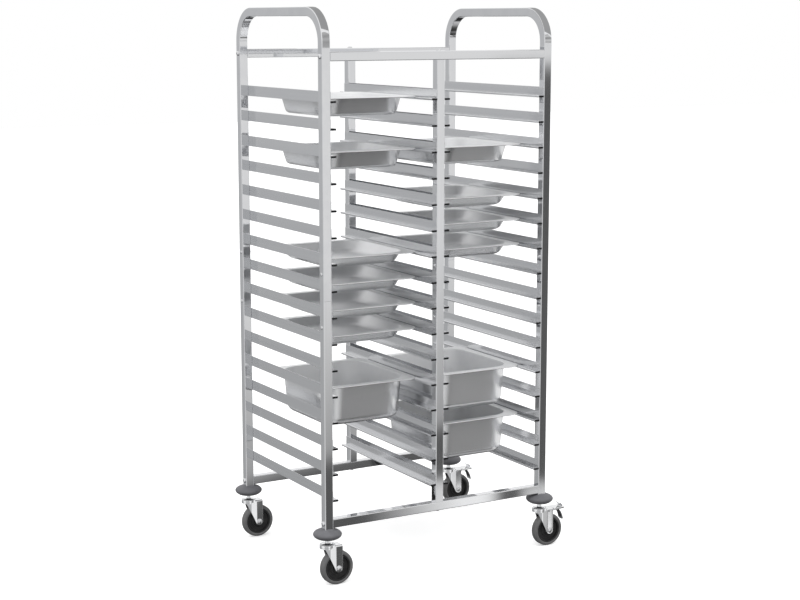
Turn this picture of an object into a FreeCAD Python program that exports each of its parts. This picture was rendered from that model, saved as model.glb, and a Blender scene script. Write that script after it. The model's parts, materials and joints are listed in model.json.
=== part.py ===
"""Two-column gastronorm tray trolley: bolted square-tube frame, L-section tray rails, castors and pans.

Units are millimetres. X runs along the front from left to right, Y runs from front to back and Z is up.
Shapes are made from the front-left corner of the frame and moved at the end, so that the origin lies on
the floor at the middle of the trolley's footprint.
"""
import FreeCAD, Part
import math
import os
from FreeCAD import Rotation, Vector

# Frame tubes
frame_width = 750.0
frame_depth = 550.0
tube = 25.4
tube_wall = 1.2
tube_corner = 2.0
hoop_bend = 84.5            # centreline radius of the bent end hoops
hoop_rise = 120.0           # top of a hoop above the top crossbars

# Heights, each measured from the piece below it
bar_lift = 3.7              # bottom crossbars above the lower ends of the legs
first_rail_gap = 49.7       # lowest rail above the bottom crossbars
top_bar_gap = 81.6          # top crossbars above the highest rail
bumper_height = 26.7

# Tray rails
level_count = 16
lower_levels = 8            # levels carried by the lower half of the frame
rail_pitch = 74.3
rail_height = 30.6
rail_sheet = 1.0
ledge_width = 16.8
ledge_thickness = 6.0
ledge_round = 2.0
rail_end_inset = 1.0        # rail ends behind the faces of the posts

# Fasteners and inner pieces of the frame
fit_gap = 0.1               # loose fit of plugs, sleeves and screws
plug_corner = 1.0           # rounded edges of plugs and sleeves
sleeve_wall = 2.0
sleeve_margin = 16.0        # sleeve beyond its outer screw
screw_diameter = 5.0
screw_head_diameter = 9.5
screw_head_height = 2.8
screw_tail = 1.5            # thread past the nut
nut_width = 8.0
nut_height = 4.0
bolt_diameter = 8.0
bolt_head_diameter = 14.0
bolt_head_height = 4.4
bolt_reach = 18.0           # thread inside an end plug
head_rim_share = 0.25       # straight rim of a domed head, as a share of the head's height
plug_length = 24.0
foot_plug_length = 36.0
stem_reach = 11.0           # castor stem inside the foot plug

# Corner bumpers
bumper_diameter = 82.0
bumper_rim = 12.3           # height of the widest line
bumper_seat_diameter = 36.0 # flat top under the leg
bumper_base_diameter = 58.0 # flat underside

# Castors
wheel_diameter = 99.0
tyre_width = 24.0
tyre_round = 6.0
tyre_thickness = 10.0
castor_trail = 28.0
stem_diameter = 12.0
stem_length = 16.2          # bare stem between the swivel head and the bumper
head_diameter = 45.0
head_thickness = 2.7
head_edge = 1.0
race_gap = 2.0              # room for the bearing ring between head and fork
race_inner_diameter = 24.0
race_outer_diameter = 36.0
running_gap = 0.05          # radial clearance of turning fits
rest_gap = 0.25             # clearance under parts that slide or turn
kingpin_diameter = 12.0
rivet_diameter = 19.0
rivet_thickness = 2.6
fork_plate = 3.0
fork_leg = 2.5
fork_inside = 30.0
fork_nose = 11.5            # radius of the fork round the axle
fork_neck = 15.5            # fork leg ahead of the swivel axis, at its top
fork_crown_gap = 12.6       # room over the tyre, under the rivet head
fork_crown_corner = 6.0
fork_skirt = 4.5            # depth of the cup under the swivel head
axle_diameter = 8.0
axle_head_width = 13.0
axle_head_height = 5.0
axle_nut_height = 6.5
axle_tail = 2.0
spacer_wall = 2.0
hub_rim_thickness = 4.0
hub_rim_width = 22.0
hub_web_width = 9.0
hub_boss_diameter = 27.0
hub_side_gap = 1.0          # between the hub boss and the fork legs

# Brake pedals on the two right castors
pin_diameter = 3.6
pin_offset = 4.5            # brake pin ahead of the axle
eye_radius = 3.0
pin_head_diameter = 7.0
pin_head_height = 1.4
pedal_sheet = 3.0
pedal_sink = 1.0            # pedal plate let into the top of its arm
pedal_width = 34.0
pedal_arm_width = 26.0
pedal_arm_reach = 60.0      # end of the arm under the pedal plate, from the swivel axis
pedal_reach = 83.0          # end of the pedal plate from the swivel axis
pedal_start_gap = 2.5       # between the fork and the pedal plate
tab_width = 22.0
tab_height = 11.0
tab_lean = 6.0
tab_bow = 2.0
tab_setback = 5.0           # release tab behind the end of the pedal plate
tongue_drop = 40.0
tongue_run = 20.0
tongue_setback = 22.0       # tongue root behind the end of the pedal plate
tongue_bow = 3.0

# Pans
pan_side_gap = 5.95         # between a pan's rim and the posts on either side
pan_length = 354.0
pan_front = 84.0            # pan rim behind the front of the frame
pan_sheet = 0.8
pan_rim_drop = 3.0
pan_flange = 22.0
pan_rim_corner = 30.0
pan_wall_corner = 55.0
pan_lip_round = 2.0
shallow_depth = 34.0
medium_depth = 53.0
deep_depth = 122.0
shallow_round = 13.0
medium_round = 10.0
deep_round = 24.0
shallow_lean = 15.0         # walls draw in by this much over their depth
medium_lean = 17.0
deep_lean = 12.0

# Pan kinds, and where the pans stand: column, level counted from the top, kind
pan_kinds = {
    "shallow": (shallow_depth, shallow_round, shallow_lean),
    "medium": (medium_depth, medium_round, medium_lean),
    "deep": (deep_depth, deep_round, deep_lean),
}
pans = [
    ("left", 1, "medium"), ("left", 3, "medium"), ("left", 7, "shallow"), ("left", 8, "shallow"),
    ("left", 9, "shallow"), ("left", 10, "shallow"), ("left", 12, "deep"),
    ("right", 3, "medium"), ("right", 5, "shallow"), ("right", 6, "shallow"), ("right", 7, "shallow"),
    ("right", 12, "deep"), ("right", 14, "deep"),
]

# Heights and places that follow from the sizes above
wheel_radius = wheel_diameter / 2
crown_z = wheel_diameter + fork_crown_gap + rivet_thickness + rest_gap
fork_top = crown_z + fork_plate
head_z = fork_top + race_gap
bumper_z = head_z + head_thickness + stem_length
foot_z = bumper_z + bumper_height
low_bar_z = foot_z + bar_lift
first_rail_z = low_bar_z + tube + first_rail_gap
seam_z = first_rail_z + rail_pitch * lower_levels - (rail_pitch - rail_height) / 2
last_rail_z = first_rail_z + rail_pitch * (level_count - 1)
top_bar_z = last_rail_z + rail_height + top_bar_gap
hoop_top = top_bar_z + tube + hoop_rise
tube_inside = tube - 2 * tube_wall
left_x = tube / 2
right_x = frame_width - tube / 2
middle_x = frame_width / 2
front_y = tube / 2
back_y = frame_depth - tube / 2
screw_z = (seam_z - rail_pitch, seam_z + rail_pitch)
column_width = middle_x - tube / 2 - tube
pan_width = column_width - 2 * pan_side_gap
column_middle = {"left": (tube + middle_x - tube / 2) / 2, "right": (middle_x + frame_width - tube / 2) / 2}
origin_x = (left_x - bumper_diameter / 2 + right_x + pedal_reach) / 2
pin_x = castor_trail - pin_offset
pin_z = crown_z - rest_gap - eye_radius


def rounded_rectangle(width, length, corner, z=0.0):
    """Closed wire of a rounded rectangle, centred on the Z axis, at height z."""
    x = width / 2
    y = length / 2
    c = corner
    diagonal = c * (1 - math.sqrt(0.5))
    line = Part.LineSegment
    edges = [
        line(Vector(c - x, -y, z), Vector(x - c, -y, z)),
        Part.Arc(Vector(x - c, -y, z), Vector(x - diagonal, diagonal - y, z), Vector(x, c - y, z)),
        line(Vector(x, c - y, z), Vector(x, y - c, z)),
        Part.Arc(Vector(x, y - c, z), Vector(x - diagonal, y - diagonal, z), Vector(x - c, y, z)),
        line(Vector(x - c, y, z), Vector(c - x, y, z)),
        Part.Arc(Vector(c - x, y, z), Vector(diagonal - x, y - diagonal, z), Vector(-x, y - c, z)),
        line(Vector(-x, y - c, z), Vector(-x, c - y, z)),
        Part.Arc(Vector(-x, c - y, z), Vector(diagonal - x, diagonal - y, z), Vector(c - x, -y, z)),
    ]
    return Part.Wire([edge.toShape() for edge in edges])


def plate(width, length, corner, z, thickness):
    """Rounded plate centred on the Z axis, from z upwards."""
    return Part.Face(rounded_rectangle(width, length, corner, z)).extrude(Vector(0, 0, thickness))


def box(x0, x1, y0, y1, z0, z1):
    """Plain block between two corners."""
    return Part.makeBox(x1 - x0, y1 - y0, z1 - z0, Vector(x0, y0, z0))


def rod(start, direction, radius, length):
    """Round bar from a point along a direction."""
    return Part.makeCylinder(radius, length, start, direction)


def outline(points, y=0.0):
    """Closed wire in X and Z at depth y; an arc is given as a pair (via, end)."""
    edges = []
    last = Vector(points[0][0], y, points[0][1])
    for step in points[1:] + points[:1]:
        if isinstance(step[0], tuple):
            via = Vector(step[0][0], y, step[0][1])
            end = Vector(step[1][0], y, step[1][1])
            edges.append(Part.Arc(last, via, end).toShape())
        else:
            end = Vector(step[0], y, step[1])
            edges.append(Part.LineSegment(last, end).toShape())
        last = end
    return Part.Wire(edges)


def turned(points):
    """Solid turned about the Z axis from an outline of radii and heights."""
    return Part.Face(outline(points)).revolve(Vector(0, 0, 0), Vector(0, 0, 1), 360)


def prism(points, y0, y1):
    """Solid between y0 and y1 with an outline in X and Z."""
    return Part.Face(outline(points, y0)).extrude(Vector(0, y1 - y0, 0))


def bent_strip(start, end, bow, width):
    """Strip of pedal sheet, centred on Y, bent along an arc that bows to the right of start to end."""
    run = end[0] - start[0]
    rise = end[1] - start[1]
    chord = math.hypot(run, rise)
    radius = (chord * chord / 4 + bow * bow) / (2 * bow)
    side = (rise / chord, -run / chord)
    centre_x = (start[0] + end[0]) / 2 + side[0] * (bow - radius)
    centre_z = (start[1] + end[1]) / 2 + side[1] * (bow - radius)
    spokes = [(start[0] - centre_x, start[1] - centre_z), (side[0] * radius, side[1] * radius)]
    spokes.append((end[0] - centre_x, end[1] - centre_z))
    rims = []
    for scale in (1 + pedal_sheet / 2 / radius, 1 - pedal_sheet / 2 / radius):
        rims.append([(centre_x + x * scale, centre_z + z * scale) for x, z in spokes])
    outer, inner = rims
    return prism([outer[0], (outer[1], outer[2]), inner[2], (inner[1], inner[0])], -width / 2, width / 2)


def placed(shape, place, direction=Vector(0, 0, 1)):
    """Copy of a shape with its Z axis turned to a direction and its origin moved to a place."""
    copy = shape.copy()
    copy.Placement = FreeCAD.Placement(place, Rotation(Vector(0, 0, 1), direction))
    return copy


def tube_profile():
    """Face of the square tube's section, centred on the Z axis."""
    outer = rounded_rectangle(tube, tube, tube_corner)
    inner = rounded_rectangle(tube_inside, tube_inside, tube_corner - tube_wall)
    return Part.Face(outer).cut(Part.Face(inner)).Faces[0]


def upright(x, y, z0, z1):
    """Square tube standing at (x, y)."""
    return placed(tube_profile().extrude(Vector(0, 0, z1 - z0)), Vector(x, y, z0))


def crossbar(y, z0):
    """Square tube along X between the end frames, with a hole for the bolt of a mid post."""
    length = frame_width - 2 * tube
    bar = tube_profile().extrude(Vector(0, 0, length))
    bar = placed(bar, Vector(tube, y, z0 + tube / 2), Vector(1, 0, 0))
    hole = rod(Vector(middle_x, y, z0 - tube), Vector(0, 0, 1), bolt_diameter / 2 + fit_gap, 3 * tube)
    return bar.cut(hole)


def screw_holes(x, y):
    """Cross holes for the two screws of a post joint."""
    start = Vector(x - tube, y, 0)
    radius = screw_diameter / 2 + fit_gap
    holes = [rod(start + Vector(0, 0, z), Vector(1, 0, 0), radius, 2 * tube) for z in screw_z]
    return holes[0].fuse(holes[1:])


def bolt_hole(x, y, z):
    """Cross hole for one crossbar bolt."""
    return rod(Vector(x - tube, y, z), Vector(1, 0, 0), bolt_diameter / 2 + fit_gap, 2 * tube)


def hoop(x):
    """Upper end frame: one tube bent into two posts and the push handle."""
    bend_z = hoop_top - tube / 2 - hoop_bend
    profile = tube_profile()
    post = upright(x, front_y, seam_z, bend_z)
    section = placed(profile, Vector(x, front_y, bend_z))
    bend = section.revolve(Vector(x, front_y + hoop_bend, bend_z), Vector(1, 0, 0), -90)
    half_top = frame_depth / 2 - front_y - hoop_bend
    level = placed(profile, Vector(x, front_y + hoop_bend, hoop_top - tube / 2), Vector(0, 1, 0))
    half = post.fuse([bend, level.extrude(Vector(0, half_top, 0))])
    whole = half.fuse(half.mirror(Vector(0, frame_depth / 2, 0), Vector(0, 1, 0))).removeSplitter()
    for y in (front_y, back_y):
        whole = whole.cut([screw_holes(x, y), bolt_hole(x, y, top_bar_z + tube / 2)])
    return whole


def lower_leg(x, y):
    """Lower end post, from the bumper up to the seam."""
    leg = upright(x, y, foot_z, seam_z)
    return leg.cut([screw_holes(x, y), bolt_hole(x, y, low_bar_z + tube / 2)])


def mid_post(y, z0, z1):
    """Upper or lower half of a post between the two columns."""
    return upright(middle_x, y, z0, z1).cut(screw_holes(middle_x, y))


def rail(face_x, side, z):
    """Tray rail on a post's face; side is 1 where the ledge points to +X and -1 where it points to -X."""
    w = ledge_width
    t = ledge_thickness
    s = rail_sheet
    r = ledge_round
    d = r * (1 - math.sqrt(0.5))
    section = [
        (0, 0), (w - r, 0), ((w - d, d), (w, r)), (w, t - r), ((w - d, t - d), (w - r, t)),
        (s, t), (s, rail_height), (0, rail_height),
    ]
    length = frame_depth - 2 * rail_end_inset
    body = prism(section, 0, length)
    hollow = prism([(s, s), (w - s, s), (w - s, t - s), (s, t - s)], 0, length)
    shape = body.cut(hollow)
    if side < 0:
        shape = shape.mirror(Vector(0, 0, 0), Vector(1, 0, 0))
    return placed(shape, Vector(face_x, rail_end_inset, z))


def rails(face_x, side):
    """All rails on one face of the posts."""
    return [rail(face_x, side, first_rail_z + rail_pitch * level) for level in range(level_count)]


def sleeve(x, y):
    """Inner square sleeve that joins the halves of a post."""
    outside = tube_inside - 2 * fit_gap
    inside = outside - 2 * sleeve_wall
    length = 2 * (rail_pitch + sleeve_margin)
    solid = plate(outside, outside, plug_corner, -length / 2, length)
    bore = box(-inside / 2, inside / 2, -inside / 2, inside / 2, -length, length)
    return placed(solid.cut(bore), Vector(x, y, seam_z)).cut(screw_holes(x, y))


def domed_bolt(diameter, length, head_width, head_height):
    """Bolt along +Z with a domed head below z = 0."""
    r = diameter / 2
    h = head_width / 2
    edge = head_height * head_rim_share
    swell = h * math.sqrt(0.5)
    crown = edge + (head_height - edge) * math.sqrt(0.5)
    dome = ((swell, -crown), (h, -edge))
    return turned([(0, length), (0, -head_height), dome, (h, 0), (r, 0), (r, length)])


def hex_nut(width, height, hole_radius):
    """Hexagon nut from z = 0 up."""
    corner = width / math.sqrt(3)
    turns = [math.pi * k / 3 for k in range(7)]
    points = [Vector(corner * math.cos(turn), corner * math.sin(turn), 0) for turn in turns]
    body = Part.Face(Part.makePolygon(points)).extrude(Vector(0, 0, height))
    return body.cut(rod(Vector(0, 0, -height), Vector(0, 0, 1), hole_radius, 3 * height))


def end_plug(length):
    """Square plug with a threaded hole, from z = 0 up."""
    side = tube_inside - 2 * fit_gap
    body = plate(side, side, plug_corner, 0, length)
    return body.cut(rod(Vector(0, 0, -length), Vector(0, 0, 1), bolt_diameter / 2 + fit_gap, 3 * length))


def foot_plug(x, y):
    """Plug in the end of a leg: a blind hole for the castor stem and a cross hole for the crossbar bolt."""
    side = tube_inside - 2 * fit_gap
    body = plate(side, side, plug_corner, 0, foot_plug_length)
    stem_hole = rod(Vector(0, 0, 0), Vector(0, 0, 1), stem_diameter / 2 + fit_gap, stem_reach + fit_gap)
    return placed(body.cut(stem_hole), Vector(x, y, foot_z)).cut(bolt_hole(x, y, low_bar_z + tube / 2))


def lens_edge(radius, end_radius, z, end_z):
    """Part of an ellipse from the widest line at height z to a smaller radius at another height."""
    height = (end_z - z) / math.sqrt(1 - (end_radius / radius) ** 2)
    ellipse = Part.Ellipse(Vector(radius, 0, z), Vector(0, 0, z + height), Vector(0, 0, z))
    return Part.ArcOfEllipse(ellipse, 0, math.acos(end_radius / radius)).toShape()


def bumper():
    """Lens-shaped corner bumper with a hole for the castor stem, from z = 0 up."""
    hole = stem_diameter / 2 + fit_gap
    seat = bumper_seat_diameter / 2
    base = bumper_base_diameter / 2
    lower = lens_edge(bumper_diameter / 2, base, bumper_rim, 0)
    upper = lens_edge(bumper_diameter / 2, seat, bumper_rim, bumper_height)
    inside = [(base, 0), (hole, 0), (hole, bumper_height), (seat, bumper_height)]
    core = Part.makePolygon([Vector(x, 0, z) for x, z in inside])
    profile = Part.Wire([lower] + core.Edges + [upper])
    return Part.Face(profile).revolve(Vector(0, 0, 0), Vector(0, 0, 1), 360)


def castor_stem():
    """Stem, swivel head and kingpin rivet, on the swivel axis."""
    s = stem_diameter / 2
    h = head_diameter / 2
    k = kingpin_diameter / 2
    v = rivet_diameter / 2
    rivet_top = crown_z - rest_gap
    head_top = head_z + head_thickness
    return turned([
        (0, foot_z + stem_reach), (0, rivet_top - rivet_thickness), (v, rivet_top - rivet_thickness),
        (v, rivet_top), (k, rivet_top), (k, head_z), (h, head_z), (h, head_top - head_edge),
        (h - head_edge, head_top), (s, head_top), (s, foot_z + stem_reach),
    ])


def bearing_ring():
    """Thrust ring that carries the swivel head on the fork."""
    i = race_inner_diameter / 2
    o = race_outer_diameter / 2
    top = head_z - rest_gap
    low = fork_top + rest_gap
    return turned([(i, low), (o, low), (o, top), (i, top)])


def fork(braked):
    """Pressed fork: crown plate and two tapered legs, with the swivel axis on the Z axis."""
    n = fork_nose
    a = castor_trail
    half = fork_inside / 2 + fork_leg
    rise = fork_top - wheel_radius
    lean = math.atan2(rise, a + fork_neck) + math.asin(n / math.hypot(a + fork_neck, rise))
    tangent = (a - n * math.sin(lean), wheel_radius - n * math.cos(lean))
    turn = (math.pi / 2 - lean) / 2
    low = (a + n * math.sin(turn), wheel_radius - n * math.cos(turn))
    leg = [(-fork_neck, fork_top), tangent, (low, (a + n, wheel_radius)), (a + n, fork_top)]
    shape = prism(leg, -half, -half + fork_leg).fuse(prism(leg, half - fork_leg, half))
    crown = plate(a + n, 2 * half, fork_crown_corner, crown_z, fork_plate)
    crown.translate(Vector((a + n) / 2, 0, 0))
    cup_radius = head_diameter / 2
    cup = rod(Vector(0, 0, crown_z - fork_skirt), Vector(0, 0, 1), cup_radius, fork_skirt + fork_plate)
    hollow = rod(Vector(0, 0, 0), Vector(0, 0, 1), cup_radius - fork_leg, crown_z)
    behind = box(0, head_diameter, -head_diameter, head_diameter, 0, crown_z)
    shape = shape.fuse([crown, cup.cut([hollow, behind])]).removeSplitter()
    kingpin = rod(Vector(0, 0, 0), Vector(0, 0, 1), kingpin_diameter / 2 + running_gap, 2 * fork_top)
    axle = rod(Vector(a, -2 * half, wheel_radius), Vector(0, 1, 0), axle_diameter / 2 + running_gap, 4 * half)
    shape = shape.cut([kingpin, axle])
    if braked:
        pin = rod(Vector(pin_x, -2 * half, pin_z), Vector(0, 1, 0), pin_diameter / 2 + running_gap, 4 * half)
        shape = shape.cut(pin)
    return shape


def axle():
    """Axle bolt, spacer tube and nut; the wheel turns on the spacer."""
    half = fork_inside / 2 + fork_leg
    r = axle_diameter / 2
    place = Vector(castor_trail, -half, wheel_radius)
    along = Vector(0, 1, 0)
    head = placed(hex_nut(axle_head_width, axle_head_height, r), Vector(0, 0, -axle_head_height))
    shank_length = axle_head_height + 2 * half + axle_nut_height + axle_tail
    shank = rod(Vector(0, 0, -axle_head_height), Vector(0, 0, 1), r, shank_length)
    bolt = placed(head.fuse(shank).removeSplitter(), place, along)
    nut = hex_nut(axle_head_width, axle_nut_height, r + fit_gap)
    nut = placed(nut, place + Vector(0, 2 * half, 0), along)
    outside = rod(Vector(0, 0, fork_leg), Vector(0, 0, 1), r + spacer_wall, fork_inside)
    inside = rod(Vector(0, 0, 0), Vector(0, 0, 1), r + running_gap, 2 * half)
    spacer = placed(outside.cut(inside), place, along)
    return [bolt, nut, spacer]


def hub():
    """Wheel centre with rim, web and boss."""
    rim_out = wheel_radius - tyre_thickness
    rim_in = rim_out - hub_rim_thickness
    rim = hub_rim_width / 2
    web = hub_web_width / 2
    boss = hub_boss_diameter / 2
    side = fork_inside / 2 - hub_side_gap
    bore = axle_diameter / 2 + spacer_wall + running_gap
    shape = turned([
        (bore, -side), (boss, -side), (boss, -web), (rim_in, -web), (rim_in, -rim), (rim_out, -rim),
        (rim_out, rim), (rim_in, rim), (rim_in, web), (boss, web), (boss, side), (bore, side),
    ])
    return placed(shape, Vector(castor_trail, 0, wheel_radius), Vector(0, 1, 0))


def tyre():
    """Rubber tread on the wheel centre."""
    inner = wheel_radius - tyre_thickness
    w = tyre_width / 2
    c = tyre_round
    d = c * (1 - math.sqrt(0.5))
    outer = wheel_radius
    shape = turned([
        (inner, -w), (outer - c, -w), ((outer - d, d - w), (outer, c - w)), (outer, w - c),
        ((outer - d, w - d), (outer - c, w)), (inner, w),
    ])
    return placed(shape, Vector(castor_trail, 0, wheel_radius), Vector(0, 1, 0))


def brake_pin():
    """Riveted pin of the brake pedal."""
    half = fork_inside / 2 + fork_leg
    pin = rod(Vector(pin_x, -half, pin_z), Vector(0, 1, 0), pin_diameter / 2, 2 * half)
    heads = [
        rod(Vector(pin_x, y, pin_z), Vector(0, 1, 0), pin_head_diameter / 2, pin_head_height)
        for y in (-half - pin_head_height, half)
    ]
    return pin.fuse(heads).removeSplitter()


def brake_pedal():
    """Brake lever: eye and arm between the fork legs, pedal plate, release tab and foot tongue."""
    t = pedal_sheet
    e = eye_radius
    start = castor_trail + fork_nose + pedal_start_gap
    low = pin_z - e
    top = pin_z + e
    eye = ((pin_x - e, pin_z), (pin_x, low))
    arm_side = [(pin_x, top), eye, (pedal_arm_reach, low), (pedal_arm_reach, top)]
    arm = prism(arm_side, -pedal_arm_width / 2, pedal_arm_width / 2)
    deck_z = top - pedal_sink
    deck = box(start, pedal_reach, -pedal_width / 2, pedal_width / 2, deck_z, deck_z + t)
    tab_foot = (pedal_reach - tab_setback, top)
    tab = bent_strip(tab_foot, (tab_foot[0] - tab_lean, top + tab_height), tab_bow, tab_width)
    root = (pedal_reach - tongue_setback, top)
    tongue = bent_strip((root[0] + tongue_run, top - tongue_drop), root, tongue_bow, tab_width)
    radius = pin_diameter / 2 + running_gap
    hole = rod(Vector(pin_x, -pedal_width, pin_z), Vector(0, 1, 0), radius, 2 * pedal_width)
    return arm.fuse([deck, tab, tongue]).removeSplitter().cut(hole)


def pan_tub(inset, depth, bottom_round, lean):
    """Solid of a pan's tub below z = 0, drawn in by an inset from the outer wall."""
    width = pan_width - 2 * (pan_flange + inset)
    length = pan_length - 2 * (pan_flange + inset)
    corner = pan_wall_corner - inset
    top = rounded_rectangle(width, length, corner)
    low = rounded_rectangle(width - 2 * lean, length - 2 * lean, corner - lean, -depth)
    tub = Part.makeLoft([top, low], True, True)
    low_edges = [edge for edge in tub.Edges if edge.BoundBox.ZMax < -depth / 2]
    return tub.makeFillet(bottom_round, low_edges)


def pan(depth, bottom_round, lean):
    """Pan with a turned-down rim; its rim's top is at z = 0."""
    s = pan_sheet
    rim = plate(pan_width, pan_length, pan_rim_corner, -pan_rim_drop, pan_rim_drop)
    recess = plate(pan_width - 2 * s, pan_length - 2 * s, pan_rim_corner - s, -pan_rim_drop, pan_rim_drop - s)
    inner_edge = pan_flange - pan_lip_round - s
    core_corner = pan_wall_corner + pan_lip_round + s
    core_width = pan_width - 2 * inner_edge
    core_length = pan_length - 2 * inner_edge
    core = plate(core_width, core_length, core_corner, -pan_rim_drop, pan_rim_drop)
    outer = rim.cut(recess.cut(core)).fuse(pan_tub(0, depth, bottom_round, lean)).removeSplitter()
    shell = outer.cut(pan_tub(s, depth - s, bottom_round - s, lean))
    mouth = [edge for edge in shell.Edges if edge.BoundBox.ZMin > -s / 2 and is_mouth(edge)]
    return shell.makeFillet(pan_lip_round, mouth)


def is_mouth(edge):
    """True for the edges round the mouth of a pan, and not for those round its rim."""
    bounds = edge.BoundBox
    half_width = pan_width / 2 - pan_flange / 2
    half_length = pan_length / 2 - pan_flange / 2
    return max(bounds.XMax, -bounds.XMin) < half_width and max(bounds.YMax, -bounds.YMin) < half_length


def pan_place(column, level):
    """Where a pan's rim stands on the ledges of a level, counted from the top."""
    ledge = first_rail_z + rail_pitch * (level_count - level) + ledge_thickness
    return Vector(column_middle[column], pan_front + pan_length / 2, ledge + rest_gap + pan_rim_drop)


def corner_places():
    """Names and places of the four corner posts, each with True where its castor has a brake."""
    return [
        ("front_left", left_x, front_y, False), ("back_left", left_x, back_y, False),
        ("front_right", right_x, front_y, True), ("back_right", right_x, back_y, True),
    ]


def frame_nodes():
    """Tubes and rails of the frame."""
    nodes = {"upper_hoop_left": [hoop(left_x)], "upper_hoop_right": [hoop(right_x)]}
    for name, x, y, braked in corner_places():
        nodes["lower_leg_" + name] = [lower_leg(x, y)]
    both_y = (front_y, back_y)
    nodes["mid_posts_upper"] = [mid_post(y, seam_z, top_bar_z) for y in both_y]
    nodes["mid_posts_lower"] = [mid_post(y, low_bar_z + tube, seam_z) for y in both_y]
    nodes["rails_left"] = rails(tube, 1)
    nodes["rails_mid_left"] = rails(middle_x - tube / 2, -1)
    nodes["rails_mid_right"] = rails(middle_x + tube / 2, 1)
    nodes["rails_right"] = rails(frame_width - tube, -1)
    for side, y in (("front", front_y), ("back", back_y)):
        nodes["top_crossbar_" + side] = [crossbar(y, top_bar_z)]
        nodes["bottom_crossbar_" + side] = [crossbar(y, low_bar_z)]
    return nodes


def fastener_nodes():
    """Sleeves, plugs, screws, nuts and bolts of the frame."""
    posts = [(x, y) for x in (left_x, middle_x, right_x) for y in (front_y, back_y)]
    grip = tube + nut_height + screw_tail
    screw = domed_bolt(screw_diameter, grip, screw_head_diameter, screw_head_height)
    nut = hex_nut(nut_width, nut_height, screw_diameter / 2 + fit_gap)
    screws = []
    nuts = []
    for x, y in posts:
        inward = Vector(-1, 0, 0) if x == right_x else Vector(1, 0, 0)
        for z in screw_z:
            middle = Vector(x, y, z)
            screws.append(placed(screw, middle - inward * (tube / 2), inward))
            nuts.append(placed(nut, middle + inward * (tube / 2), inward))
    end_bolt = domed_bolt(bolt_diameter, tube + bolt_reach, bolt_head_diameter, bolt_head_height)
    plug = end_plug(plug_length)
    bolts = []
    plugs = []
    for y in (front_y, back_y):
        for z in (low_bar_z + tube / 2, top_bar_z + tube / 2):
            for x, inward in ((0, Vector(1, 0, 0)), (frame_width, Vector(-1, 0, 0))):
                bolts.append(placed(end_bolt, Vector(x, y, z), inward))
                plugs.append(placed(plug, Vector(x, y, z) + inward * tube, inward))
    post_bolts = []
    for y in (front_y, back_y):
        for z, inward in ((low_bar_z, Vector(0, 0, 1)), (top_bar_z + tube, Vector(0, 0, -1))):
            place = Vector(middle_x, y, z)
            post_bolts.append(placed(end_bolt, place, inward))
            plugs.append(placed(plug, place + inward * tube, inward))
    return {
        "post_sleeves": [sleeve(x, y) for x, y in posts],
        "joint_screws": screws,
        "joint_nuts": nuts,
        "bar_end_plugs": plugs,
        "crossbar_bolts": bolts,
        "mid_post_bolts": post_bolts,
        "foot_plugs": [foot_plug(x, y) for name, x, y, braked in corner_places()],
    }


def castor_nodes():
    """Bumpers and castors."""
    nodes = {"corner_bumpers": [], "castor_stems": [], "swivel_bearings": []}
    for name, x, y, braked in corner_places():
        foot = Vector(x, y, 0)
        nodes["corner_bumpers"].append(placed(bumper(), foot + Vector(0, 0, bumper_z)))
        nodes["castor_stems"].append(placed(castor_stem(), foot))
        nodes["swivel_bearings"].append(placed(bearing_ring(), foot))
        pieces = {"castor_fork_": [fork(braked)], "castor_axle_": axle()}
        pieces["wheel_hub_"] = [hub()]
        pieces["wheel_tyre_"] = [tyre()]
        if braked:
            pieces["brake_pin_"] = [brake_pin()]
            pieces["brake_pedal_"] = [brake_pedal()]
        for start, solids in pieces.items():
            for solid in solids:
                solid.translate(foot)
            nodes[start + name] = solids
    return nodes


def pan_nodes():
    """Pans on their ledges."""
    shapes = {kind: pan(*sizes) for kind, sizes in pan_kinds.items()}
    return {
        "pan_%s_%02d" % (column, level): [placed(shapes[kind], pan_place(column, level))]
        for column, level, kind in pans
    }


def main():
    """Build every node, move it to the trolley's own frame and write it."""
    os.makedirs("parts", exist_ok=True)
    nodes = {**frame_nodes(), **fastener_nodes(), **castor_nodes(), **pan_nodes()}
    shift = Vector(-origin_x, -frame_depth / 2, 0)
    for name, solids in nodes.items():
        single = []
        for shape in solids:
            single.extend(shape.Solids)
        for solid in single:
            solid.translate(shift)
        whole = single[0] if len(single) == 1 else Part.makeCompound(single)
        whole.exportStep(os.path.join("parts", name + ".step"))
        print(name, len(single), "valid" if whole.isValid() else "NOT VALID", round(whole.Volume))


main()
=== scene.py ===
"""Dressed model of a two-column gastronorm tray trolley.

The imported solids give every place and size. The straight tubes stay and get their finishes here; the bent
end frames, tray rails, pans, bumpers, fasteners and castors are modelled again with rounder forms.
"""
import json
import logging
import math
from collections.abc import Callable, Iterable, Mapping, Sequence
from dataclasses import dataclass, field, replace
from enum import Enum
from typing import Union

import bmesh
import bpy
from bmesh.types import BMEdge, BMesh, BMFace, BMVert
from mathutils import Matrix, Vector

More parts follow.
